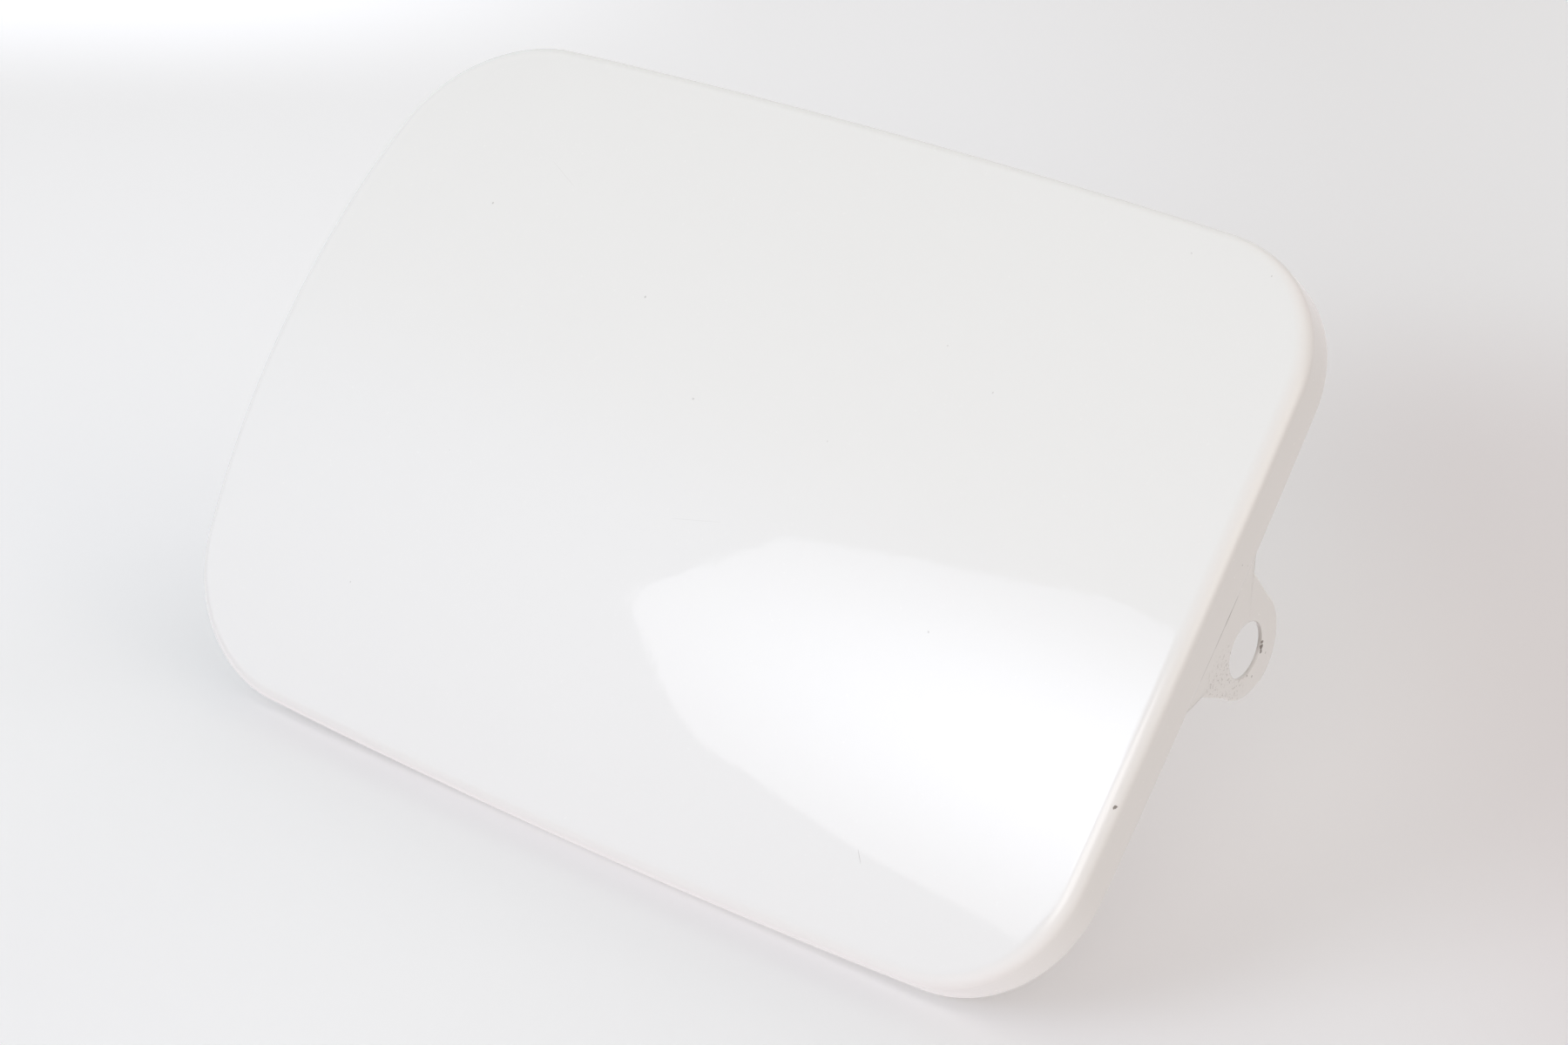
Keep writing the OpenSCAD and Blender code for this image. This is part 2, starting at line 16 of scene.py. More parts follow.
import bpy
import numpy as np
from mathutils import Matrix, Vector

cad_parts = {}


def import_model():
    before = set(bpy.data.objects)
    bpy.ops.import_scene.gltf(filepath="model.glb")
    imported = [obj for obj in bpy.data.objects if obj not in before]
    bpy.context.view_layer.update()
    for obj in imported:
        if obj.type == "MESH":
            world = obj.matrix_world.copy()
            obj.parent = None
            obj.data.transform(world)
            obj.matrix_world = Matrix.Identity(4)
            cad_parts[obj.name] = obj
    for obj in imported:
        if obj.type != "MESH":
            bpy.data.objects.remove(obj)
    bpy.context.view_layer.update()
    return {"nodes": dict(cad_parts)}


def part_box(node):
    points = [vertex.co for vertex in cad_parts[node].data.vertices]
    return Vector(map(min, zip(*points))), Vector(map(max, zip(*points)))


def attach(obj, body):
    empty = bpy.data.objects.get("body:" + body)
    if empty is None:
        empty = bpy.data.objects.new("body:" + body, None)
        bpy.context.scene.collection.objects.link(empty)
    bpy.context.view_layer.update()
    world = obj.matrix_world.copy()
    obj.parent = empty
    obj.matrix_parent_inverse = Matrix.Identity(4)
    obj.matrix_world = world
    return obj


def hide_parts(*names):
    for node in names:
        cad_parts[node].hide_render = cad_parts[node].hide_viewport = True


MM = 0.001
LOG = logging.getLogger("fuel_filler_flap")
Colour = tuple[float, float, float]
Point = tuple[float, float, float]
Ends = tuple[float, float]
Socket = bpy.types.NodeSocket


class Body(Enum):
    """The body that a new piece rides on, as the CAD model names it."""

    FLAP = "flap"


class Finish(Enum):
    """The finishes, by the names of their materials."""

    PAINT = "white_paint"
    ZINC = "zinc_plate"
    FOLDED = "folded_zinc"
    YELLOW = "yellow_zinc"
    BRIGHT = "bright_steel"
    SPRING = "spring_steel"
    NYLON = "nylon"
    RUBBER = "black_rubber"
    BOARD = "table_board_painted_shading"
    CLOTH = "lamp_cloth"


def put_in_scene(name: str, data: bpy.types.ID) -> bpy.types.Object:
    """Makes an object at the origin.

    Args:
        name: The object's name.
        data: Its mesh or camera.

    Returns:
        The new object, linked to the scene.
    """
    made = bpy.data.objects.new(name, data)
    bpy.context.scene.collection.objects.link(made)
    return made


# ---------------------------------------------------------------- meshes


@dataclass
class SheetMesh:
    """Vertices and faces of one piece, gathered from grids of points."""

    points: list[np.ndarray] = field(default_factory=list)
    quads: list[np.ndarray] = field(default_factory=list)
    fans: list[np.ndarray] = field(default_factory=list)
    inner: list[np.ndarray] = field(default_factory=list)
    count: int = 0

    def add_rings(
        self, rings: np.ndarray, inner: np.ndarray, loop: bool = False, poles: bool = False
    ) -> None:
        """Adds a closed surface made of rings of points.

        Args:
            rings: Points, shaped (rows, points along a ring, 3). Every ring is closed.
            inner: How far each row lies on the sheet's inside, from 0 to 1.
            loop: The last ring joins the first one, as on a ring-shaped tube.
            poles: The first and the last ring close to a point at their middle.
        """
        rows, along = rings.shape[:2]
        index = self.count + np.arange(rows * along).reshape(rows, along)
        if loop:
            index = np.vstack([index, index[:1]])
        here, below = index[:-1], index[1:]
        quads = np.stack(
            [here, np.roll(here, -1, 1), np.roll(below, -1, 1), below], axis=-1
        ).reshape(-1, 4)
        fans = np.zeros((0, 3), int)
        points, side = rings.reshape(-1, 3), np.repeat(inner, along)
        if poles:
            first, last = self.count + len(points), self.count + len(points) + 1
            points = np.vstack([points, rings[0].mean(0), rings[-1].mean(0)])
            side = np.append(side, [inner[0], inner[-1]])
            top, end = index[0], index[-1]
            fans = np.vstack([
                np.stack([np.full(along, first), np.roll(top, -1), top], axis=-1),
                np.stack([np.full(along, last), end, np.roll(end, -1)], axis=-1),
            ])
        if self._volume(points - points.mean(0), quads - self.count, fans - self.count) < 0:
            quads, fans = quads[:, ::-1], fans[:, ::-1]
        self.points.append(points)
        self.inner.append(side)
        self.quads.append(quads)
        self.fans.append(fans)
        self.count += len(points)

    @staticmethod
    def _volume(points: np.ndarray, quads: np.ndarray, fans: np.ndarray) -> float:
        """The volume inside the faces.

        It is the sum over all triangles of a . (b x c) / 6, the volume of the tetrahedron from
        the origin to the corners a, b and c.

        Args:
            points: The corners, relative to a place near them.
            quads: Four corners for each face.
            fans: Three corners for each face.

        Returns:
            The volume, below 0 where the faces point inwards.
        """
        triangles = np.vstack([quads[:, [0, 1, 2]], quads[:, [0, 2, 3]], fans])
        a, b, c = (points[triangles[:, k]] for k in range(3))
        return float(np.einsum("ij,ij->i", a, np.cross(b, c)).sum() / 6)

    def build(self, name: str) -> bpy.types.Object:
        """Makes the object, smooth shaded, with the attribute "inner" on its points.

        Args:
            name: The piece's name.

        Returns:
            The new object, linked to the scene, at the origin.
        """
        points = np.vstack(self.points)
        quads, fans = np.vstack(self.quads), np.vstack(self.fans)
        sizes = np.concatenate([np.full(len(quads), 4), np.full(len(fans), 3)])
        corners = np.concatenate([quads.ravel(), fans.ravel()])
        mesh = bpy.data.meshes.new(name)
        mesh.vertices.add(len(points))
        mesh.vertices.foreach_set("co", points.astype(np.float32).ravel())
        mesh.loops.add(len(corners))
        mesh.loops.foreach_set("vertex_index", corners.astype(np.int32))
        mesh.polygons.add(len(sizes))
        starts = np.concatenate([[0], np.cumsum(sizes)[:-1]])
        mesh.polygons.foreach_set("loop_start", starts.astype(np.int32))
        mesh.polygons.foreach_set("use_smooth", np.ones(len(sizes), bool))
        side = mesh.attributes.new("inner", "FLOAT", "POINT")
        side.data.foreach_set("value", np.concatenate(self.inner).astype(np.float32))
        mesh.update(calc_edges=True)
        mesh.validate()
        return put_in_scene(name, mesh)


@dataclass(frozen=True)
class FlapOutline:
    """The flap's outline: bowed ends and bowed long sides, joined by four round corners."""

    length: float
    height: float
    end_bow: float = 388 * MM
    side_bow: float = 1833 * MM
    corner: float = 25.5 * MM

    def arcs(self, end_steps: int, corner_steps: int, side_steps: int) -> "OutlineRing":
        """Samples the outline.

        Each corner's centre is where two circles meet, which are the bows made smaller by
        the corner's radius. A quarter of the outline is three arcs, and the other quarters
        mirror it.

        Args:
            end_steps: Steps on half of a short end.
            corner_steps: Steps on a corner.
            side_steps: Steps on half of a long side.

        Returns:
            The closed ring of arc points.
        """
        end = np.array([self.length / 2 - self.end_bow, 0.0])
        side = np.array([0.0, self.height / 2 - self.side_bow])
        end_in, side_in = self.end_bow - self.corner, self.side_bow - self.corner
        apart = float(np.hypot(end[0], side[1]))
        along = (end_in**2 - side_in**2 + apart**2) / (2 * apart)
        across = math.sqrt(end_in**2 - along**2)
        towards = (side - end) / apart
        corner = end + along * towards + across * np.array([-towards[1], towards[0]])
        if corner[0] < 0:
            corner = end + along * towards - across * np.array([-towards[1], towards[0]])
        end_a = math.atan2(corner[1], corner[0] - end[0])
        side_a = math.atan2(corner[1] - side[1], corner[0])
        angle = np.concatenate([
            np.linspace(0, end_a, end_steps, endpoint=False),
            np.linspace(end_a, side_a, corner_steps, endpoint=False),
            np.linspace(side_a, math.pi / 2, side_steps + 1),
        ])
        centre = np.concatenate([
            np.tile(end, (end_steps, 1)),
            np.tile(corner, (corner_steps, 1)),
            np.tile(side, (side_steps + 1, 1)),
        ])
        radius = np.concatenate([
            np.full(end_steps, self.end_bow),
            np.full(corner_steps, self.corner),
            np.full(side_steps + 1, self.side_bow),
        ])
        back, flip_x, flip_z = slice(-2, None, -1), np.array([-1, 1]), np.array([1, -1])
        half_centre = np.concatenate([centre, centre[back] * flip_x])
        half_angle = np.concatenate([angle, math.pi - angle[back]])
        half_radius = np.concatenate([radius, radius[back]])
        under = slice(-2, 0, -1)
        return OutlineRing(
            np.concatenate([half_centre, half_centre[under] * flip_z]),
            np.concatenate([half_angle, -half_angle[under]]),
            np.concatenate([half_radius, half_radius[under]]),
        )


@dataclass(frozen=True)
class OutlineRing:
    """Points of the outline, each one at an angle on an arc round a centre."""

    centre: np.ndarray
    angle: np.ndarray
    radius: np.ndarray

    @property
    def outward(self) -> np.ndarray:
        """The outline's outward direction in x and z at each point."""
        return np.stack([np.cos(self.angle), np.sin(self.angle)], axis=-1)

    def inset(self, distance: np.ndarray | float) -> np.ndarray:
        """The outline's points, moved inwards by a distance."""
        reach = self.radius - np.broadcast_to(distance, self.radius.shape)
        return self.centre + reach[:, None] * self.outward


@dataclass(frozen=True)
class FlapPressing:
    """The flap's sheet: a face curved from top to bottom, a rolled edge, a rim and the lock eye.

    Depths are measured from the top of the face's curve. The steps and rows are those of the
    grid.

    Attributes:
        outline: The outline of the rim's outside.
        middle: The middle of the outline, at the top of the face's curve.
        face_r: Radius of the face's curve.
        sheet: Thickness of the sheet.
        roll_r: Outer radius of the roll between face and rim.
        rim_depth: Depth of the rim's free edge.
        edge_r: Radius of the free edge's two arrises.
        eye_hole_r: Radius of the lock eye's hole.
        eye_depth: Depth of the hole's middle.
        eye_height: Height of the hole's middle over the flap's middle.
        eye_tip_r: Radius of the eye's tip.
        eye_root: Half the width of the eye where its sides meet the fillets.
        eye_fillet: Radius of the hollow fillets between the eye and the rim.
        eye_step: How far the eye's outside lies inside the rim's.
        eye_lean: How far the eye's lower side leans in at the tip.
        eye_arris: Radius of the eye's arrises.
        eye_tuck: How far the eye's top is tucked into the rim.
        fillet_turn: Angle that a fillet turns through.
        steps: The outline's steps on half an end, a corner and half a side.
        face_rows: Rows from the middle of the face to the roll.
        face_crowd: How much these rows crowd towards the roll.
        face_reach: How much smaller the first of them is than the last.
        roll_rows: Rows round the roll's outside.
        bend_rows: Rows round the roll's inside.
        rim_rows: Rows down the rim.
        edge_rows: Rows round each arris of the free edge.
        roll_rounds: Rounds in which the place of the roll's first line is found.
        tip_points: Points round the eye's tip.
        fillet_points: Points round a fillet.
        side_steps: Steps down the eye's straight side.
        tuck_steps: Steps from a fillet up into the rim.
        top_steps: Steps across the eye's top.
        web_steps: Steps from the hole to the eye's edge.
        arris_steps: Steps round an arris of the eye.
    """

    outline: FlapOutline
    middle: Point
    face_r: float = 232 * MM
    sheet: float = 0.8 * MM
    roll_r: float = 2.6 * MM
    rim_depth: float = 8.8 * MM
    edge_r: float = 0.26 * MM
    eye_hole_r: float = 4.6 * MM
    eye_depth: float = 18.5 * MM
    eye_height: float = 3.3 * MM
    eye_tip_r: float = 9.2 * MM
    eye_root: float = 10.2 * MM
    eye_fillet: float = 3.6 * MM
    eye_step: float = 0.05 * MM
    eye_lean: float = 1.1 * MM
    eye_arris: float = 0.2 * MM
    eye_tuck: float = 2 * MM
    fillet_turn: float = math.radians(84)
    steps: tuple[int, int, int] = (44, 30, 46)
    face_rows: int = 34
    face_crowd: float = 1.6
    face_reach: float = 0.97
    roll_rows: int = 12
    bend_rows: int = 8
    rim_rows: int = 5
    edge_rows: int = 4
    roll_rounds: int = 4
    tip_points: int = 49
    fillet_points: int = 14
    side_steps: int = 7
    tuck_steps: int = 5
    top_steps: int = 25
    web_steps: int = 11
    arris_steps: int = 3

    def face_depth(self, z: np.ndarray, under: float = 0.0) -> np.ndarray:
        """Depth at height z of the face's cylinder, or of the one a distance under it."""
        return self.face_r - np.sqrt((self.face_r - under) ** 2 - z**2)

    def _place(self, flat: np.ndarray, depth: np.ndarray) -> np.ndarray:
        """Points in the part's frame, from x and z in the flap's plane and a depth."""
        return np.stack([flat[..., 0], depth, flat[..., 1]], axis=-1) + np.array(self.middle)

    def skin(self) -> tuple[np.ndarray, np.ndarray]:
        """Rings of points over the face, round the roll, down the rim and back inside.

        The roll is an arc that begins square to the face and ends square to the rim: where
        the face slopes by the angle s towards the edge, its normal turns from s to a right
        angle, round a centre that lies the roll's radius inside both.

        Returns:
            The rings, and how far each one lies on the inside.
        """
        ring = self.outline.arcs(*self.steps)
        out = ring.outward
        start = ring.inset(self.roll_r)
        for _ in range(self.roll_rounds):
            steep = start[:, 1] / np.sqrt(self.face_r**2 - start[:, 1] ** 2)
            slope = np.arctan(steep * out[:, 1])
            start = ring.inset(self.roll_r * (1 - np.sin(slope)))
        centre = self.face_depth(start[:, 1]) + self.roll_r * np.cos(slope)
        free = self.face_depth(ring.inset(self.roll_r)[:, 1]) + self.rim_depth

        def face(share: np.ndarray, under: float) -> np.ndarray:
            """Rings over the face: the roll's first line, made smaller by each share.

            Args:
                share: Sizes from 0 to 1.
                under: Distance under the outside of the face.

            Returns:
                The rings.
            """
            first = ring.inset(self.roll_r - (self.roll_r - under) * np.sin(slope))
            flat = first[None] * share[:, None, None]
            return self._place(flat, self.face_depth(flat[..., 1], under))

        def roll(turn: np.ndarray, radius: float) -> np.ndarray:
            """Rings round the roll: the roll's centre plus the radius, at each angle.

            Args:
                turn: Shares of the roll's turn.
                radius: The roll's radius, outside or inside the sheet.

            Returns:
                The rings.
            """
            a = slope[None] + (math.pi / 2 - slope[None]) * turn[:, None]
            flat = np.stack([ring.inset(self.roll_r - radius * np.sin(row)) for row in a])
            return self._place(flat, centre[None] - radius * np.cos(a))

        def wall(share: np.ndarray, inset: float) -> np.ndarray:
            """Rings down the rim, from the roll's end to the free edge's rounding.

            Args:
                share: Shares of the way down.
                inset: Distance under the outside of the rim.

            Returns:
                The rings.
            """
            deep = centre[None] + (free - self.edge_r - centre)[None] * share[:, None]
            return self._place(np.tile(ring.inset(inset), (len(share), 1, 1)), deep)

        def edge(turn: np.ndarray, inset: float) -> np.ndarray:
            """Rings round one arris of the free edge, each one at an angle of a quarter turn.

            Args:
                turn: Shares of the quarter turn.
                inset: 0 for the outer arris, more for the inner one.

            Returns:
                The rings.
            """
            a = turn[:, None] * math.pi / 2
            shift = (self.sheet - 2 * self.edge_r) if inset > 0 else 0.0
            side = self.edge_r + shift + (-1 if inset == 0 else 1) * self.edge_r * np.cos(a)
            flat = np.stack([ring.inset(float(s)) for s in side[:, 0]])
            return self._place(flat, free[None] - self.edge_r + self.edge_r * np.sin(a))

        sizes = 1 - np.linspace(1, 0, self.face_rows) ** self.face_crowd * self.face_reach
        down = np.linspace(0, 1, self.rim_rows + 1)[1:]
        arris = np.linspace(0, 1, self.edge_rows + 1)
        outside = [
            face(sizes, 0.0),
            roll(np.linspace(0, 1, self.roll_rows + 1)[1:], self.roll_r),
            wall(down, 0.0),
            edge(arris[1:], 0.0),
        ]
        inside = [
            edge(1 - arris, self.sheet),
            wall(1 - down, self.sheet),
            roll(1 - np.linspace(0, 1, self.bend_rows + 1)[1:], self.roll_r - self.sheet),
            face(sizes[::-2][1:], self.sheet),
        ]
        rows = np.concatenate(outside + inside)
        marks = [np.zeros(sum(map(len, outside))), np.ones(sum(map(len, inside)))]
        return rows, np.concatenate(marks)

    def eye_outline(self) -> np.ndarray:
        """The lock eye's closed outline, as heights and depths.

        A round tip, two straight sides, a hollow fillet on each side, and a straight top
        that is tucked into the rim's sheet. The lower side leans in towards the tip.

        Returns:
            The points, in order round the eye.
        """
        rim = self.rim_depth + float(self.face_depth(np.array(self.eye_root)))
        fillet = self.eye_fillet
        tip = np.linspace(-math.pi / 2, math.pi / 2, self.tip_points)
        tip_z, tip_y = self.eye_tip_r * np.sin(tip), self.eye_depth + self.eye_tip_r * np.cos(tip)
        turn = np.linspace(0, self.fillet_turn, self.fillet_points)
        side_z = self.eye_root + fillet * (1 - np.cos(turn))
        side_y = rim + fillet - fillet * np.sin(turn)
        tuck_y = self.rim_depth - self.eye_tuck
        straight = np.linspace(0, 1, self.side_steps + 1)[1:-1]
        down_z = self.eye_root + (self.eye_tip_r - self.eye_root) * straight
        down_y = side_y[0] + (self.eye_depth - side_y[0]) * straight
        up_y = side_y[-1] + (tuck_y - side_y[-1]) * np.linspace(0, 1, self.tuck_steps + 1)[1:]
        up_z = np.full(self.tuck_steps, side_z[-1])
        right = np.stack([
            np.concatenate([up_z[::-1], side_z[::-1], down_z]),
            np.concatenate([up_y[::-1], side_y[::-1], down_y]),
        ], axis=-1)
        top = np.linspace(1, -1, self.top_steps + 1)[1:-1, None] * np.array([[side_z[-1], 0]])
        line = np.concatenate([
            right,
            np.stack([tip_z, tip_y], axis=-1)[::-1],
            (right * np.array([-1, 1]))[::-1],
            -top + np.array([[0, tuck_y]]),
        ])
        low = np.clip(-line[:, 0] / self.eye_hole_r, 0, 1)
        deep = np.clip((line[:, 1] - rim) / (self.eye_depth - rim), 0, 1)
        line[:, 0] += self.eye_lean * low * deep
        return line + np.array([self.eye_height, 0])

    def eye_spot(self, height: float, depth: float) -> Point:
        """A place on the outside of the lock end, which is bowed.

        Args:
            height: Its height above the middle.
            depth: Its depth behind the face.

        Returns:
            The place in the part's frame.
        """
        bow = self.outline.end_bow
        x = self.outline.length / 2 - bow + math.sqrt(bow**2 - height**2)
        return (x + self.middle[0], depth + self.middle[1], height + self.middle[2])

    def face_spot(self, x: float, z: float) -> Point:
        """A place on the outside of the face, from x and z in the flap's plane."""
        depth = float(self.face_depth(np.array(z)))
        return (x + self.middle[0], depth + self.middle[1], z + self.middle[2])

    def eye(self) -> tuple[np.ndarray, np.ndarray]:
        """Rings of points round the lock eye's sheet, from its bore out to its edge and back.

        Every ring goes round the hole. A ring's points lie between the hole's circle and the
        outline, on the bow that the rim lies on, at a depth in the sheet.

        Returns:
            The rings, which close on themselves, and how far each one lies on the inside.
        """
        outer = self.eye_outline()
        step = np.roll(outer, -1, 0) - np.roll(outer, 1, 0)
        normal = np.stack([step[:, 1], -step[:, 0]], axis=-1)
        normal /= np.linalg.norm(normal, axis=-1, keepdims=True)
        hole = np.array([self.eye_height, self.eye_depth])
        if np.einsum("ij,ij->i", normal, outer - hole).sum() < 0:
            normal = -normal
        away = outer - hole
        around = away / np.linalg.norm(away, axis=-1, keepdims=True)
        round_r = self.eye_arris
        thick = self.sheet - 2 * self.eye_step
        inner_line = hole + around * (self.eye_hole_r + round_r)
        outer_line = outer - normal * round_r

        quarter = np.linspace(0, math.pi / 2, self.arris_steps + 1)
        rise, fall = round_r * np.sin(quarter), round_r * (1 - np.cos(quarter))
        share = np.linspace(0, 1, self.web_steps + 1)[1:-1, None, None]
        middle = inner_line + (outer_line - inner_line) * share
        front = [
            inner_line[None] - around[None] * rise[::-1, None, None],
            middle,
            outer_line[None] + normal[None] * rise[:, None, None],
        ]
        flat = np.concatenate(front)
        depth = np.concatenate([fall[::-1], np.zeros(len(share)), fall])
        flat = np.concatenate([flat, flat[::-1]])
        depth = np.concatenate([depth, (thick - depth)[::-1]])
        bow = self.outline.end_bow - self.eye_step - depth[:, None]
        x = self.outline.length / 2 - self.outline.end_bow + np.sqrt(bow**2 - flat[..., 0] ** 2)
        rings = np.stack([x, flat[..., 1], flat[..., 0]], axis=-1) + np.array(self.middle)
        return rings, (depth > thick / 2).astype(float)

    def build(self) -> bpy.types.Object:
        """Makes the flap's pressing as one piece.

        Returns:
            The piece, which rides on the flap in place of the outer panel.
        """
        sheet = SheetMesh()
        rows, inner = self.skin()
        sheet.add_rings(rows, inner, poles=True)
        rows, inner = self.eye()
        sheet.add_rings(rows, inner, loop=True)
        piece = sheet.build("flap_pressing")
        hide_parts("outer_panel")
        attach(piece, Body.FLAP.value)
        return piece


# ---------------------------------------------------------------- finishes


@dataclass(frozen=True)
class Pattern:
    """A noise in a finish.

    Attributes:
        waves: Waves to the metre.
        layers: How many finer layers it has.
        rough: How strong each finer layer is.
        ends: Where the smooth step that cuts it into patches is 0 and 1.
    """

    waves: float
    layers: float = 3
    rough: float = 0.5
    ends: Ends = (0.0, 1.0)


class NodeBench:
    """Adds shader nodes to a material or world and joins them."""

    def __init__(self, tree: bpy.types.NodeTree) -> None:
        """Starts on an emptied node tree."""
        self.tree = tree
        tree.nodes.clear()

    def add(self, kind: str, **settings: object) -> bpy.types.Node:
        """Adds a node.

        Args:
            kind: Blender's name for the kind of node.
            settings: The node's properties.

        Returns:
            The node.
        """
        node = self.tree.nodes.new(kind)
        for name, value in settings.items():
            setattr(node, name, value)
        return node

    def put(self, socket: Socket, value: object) -> None:
        """Joins or sets an input.

        Args:
            socket: The input.
            value: A socket to join, or a value to set. A colour is given without its alpha.
        """
        if isinstance(value, Socket):
            self.tree.links.new(value, socket)
        elif isinstance(value, tuple) and socket.type == "RGBA":
            socket.default_value = (*value, 1.0)
        else:
            socket.default_value = value

    def feed(self, node: bpy.types.Node, **inputs: object) -> bpy.types.Node:
        """Joins or sets a node's inputs, whose names are given with _ for a space.

        Args:
            node: The node.
            inputs: A socket to join, or a value to set, for each input.

        Returns:
            The same node.
        """
        for name, value in inputs.items():
            self.put(node.inputs[name.replace("_", " ")], value)
        return node

    def fill(self, node: bpy.types.Node, *values: object) -> bpy.types.Node:
        """Joins or sets a node's first inputs, in order.

        Args:
            node: The node.
            values: A socket to join, or a value to set, for each input.

        Returns:
            The same node.
        """
        for socket, value in zip(node.inputs, values):
            self.put(socket, value)
        return node

    def place(self) -> Socket:
        """Object coordinates, which are the part's frame."""
        return self.add("ShaderNodeTexCoord").outputs["Object"]

    def maths(self, operation: str, *values: object) -> Socket:
        """One step of arithmetic.

        Args:
            operation: Blender's name for it.
            values: The numbers or sockets that it takes.

        Returns:
            The result.
        """
        return self.fill(self.add("ShaderNodeMath", operation=operation), *values).outputs[0]

    def times(self, first: object, second: object) -> Socket:
        """The product of two numbers or sockets."""
        return self.maths("MULTIPLY", first, second)

    def plus(self, first: object, second: object) -> Socket:
        """The sum of two numbers or sockets."""
        return self.maths("ADD", first, second)

    def greater(self, first: object, second: object) -> Socket:
        """The greater of two numbers or sockets."""
        return self.maths("MAXIMUM", first, second)

    def noise(self, where: Socket, pattern: Pattern) -> Socket:
        """A pattern's noise, which lies around 0.5.

        Args:
            where: The place.
            pattern: The pattern.

        Returns:
            The noise.
        """
        node = self.feed(self.add("ShaderNodeTexNoise"), Vector=where, Scale=pattern.waves,
                         Detail=pattern.layers, Roughness=pattern.rough)
        return node.outputs["Fac"]

    def patches(self, where: Socket, pattern: Pattern) -> Socket:
        """A pattern's noise, cut into patches by a smooth step between its ends."""
        return self.ramp(self.noise(where, pattern), *pattern.ends)

    def ramp(self, value: Socket, low: float, high: float) -> Socket:
        """A smooth step.

        Args:
            value: The number that is looked at.
            low: Where the step is 0.
            high: Where it is 1. It may be lower than low.

        Returns:
            The step.
        """
        node = self.add("ShaderNodeMapRange", interpolation_type="SMOOTHSTEP")
        self.feed(node, Value=value, From_Min=low, From_Max=high)
        return node.outputs["Result"]

    def blend(self, share: object, first: object, second: object) -> Socket:
        """A colour between two.

        Args:
            share: How much of the second one it has.
            first: A colour or a socket.
            second: A colour or a socket.

        Returns:
            The colour.
        """
        node = self.add("ShaderNodeMix", data_type="RGBA")
        for index, value in ((0, share), (6, first), (7, second)):
            self.put(node.inputs[index], value)
        return node.outputs[2]

    def stretch(self, where: Socket, scale: Point) -> Socket:
        """A place scaled along each axis."""
        node = self.feed(self.add("ShaderNodeMapping"), Vector=where, Scale=scale)
        return node.outputs["Vector"]

    def bump(self, height: Socket, deep: float,
             over: Socket | None = None) -> Socket:
        """A normal tilted by a height field.

        Args:
            height: The field, from 0 to 1.
            deep: How high it stands.
            over: The normal that it is laid over.

        Returns:
            The tilted normal.
        """
        node = self.feed(self.add("ShaderNodeBump"), Height=height, Distance=deep, Strength=1.0)
        if over is not None:
            self.put(node.inputs["Normal"], over)
        return node.outputs["Normal"]

    def soft_edges(self, radius: float) -> Socket:
        """A normal that turns over every sharp edge as if the edge were rounded."""
        return self.feed(self.add("ShaderNodeBevel", samples=6), Radius=radius).outputs["Normal"]

    def attribute(self, name: str) -> Socket:
        """A number that the mesh carries on its points."""
        return self.add("ShaderNodeAttribute", attribute_name=name).outputs["Fac"]

    def along(self, where: Socket, axis: Sequence[float]) -> Socket:
        """How far a place lies along an axis, which has the length 1."""
        node = self.add("ShaderNodeVectorMath", operation="DOT_PRODUCT")
        return self.fill(node, where, tuple(map(float, axis))).outputs["Value"]

    def near(self, where: Socket, spot: Sequence[float]) -> Socket:
        """Distance from a spot."""
        node = self.add("ShaderNodeVectorMath", operation="DISTANCE")
        return self.fill(node, where, tuple(map(float, spot))).outputs["Value"]

    def shade(self, kind: str, **inputs: object) -> Socket:
        """A shader of a kind, with its inputs."""
        return self.feed(self.add(kind), **inputs).outputs[0]

    def choose(self, share: Socket, first: Socket,
               second: Socket) -> Socket:
        """A mix of two shaders.

        Args:
            share: How much of the second one it has.
            first: A shader.
            second: A shader.

        Returns:
            The shader.
        """
        return self.fill(self.add("ShaderNodeMixShader"), share, first, second).outputs[0]

    def show(self, shader: Socket, output: str = "ShaderNodeOutputMaterial") -> None:
        """Joins a shader to the output of the material or the world."""
        self.put(self.add(output).inputs["Surface"], shader)


def new_material(finish: Finish) -> tuple[bpy.types.Material, NodeBench]:
    """An empty material.

    Args:
        finish: The finish, whose value is the material's name.

    Returns:
        The material, and the bench for its nodes.
    """
    material = bpy.data.materials.new(finish.value)
    material.use_nodes = True
    return material, NodeBench(material.node_tree)


@dataclass(frozen=True)
class Mark:
    """A small mark in the paint: where its middle is, how wide it is, and how dark."""

    spot: Point
    width: float
    dark: float


@dataclass(frozen=True)
class Scratch:
    """A straight scratch or painted crease shade: its two ends, how wide it is at its middle, how
    dark.
    """

    start: Point
    end: Point
    width: float
    dark: float

    @property
    def slack(self) -> float:
        """How much longer than the line the way over both ends is, at the scratch's side."""
        return self.width**2 / (2 * math.dist(self.start, self.end))


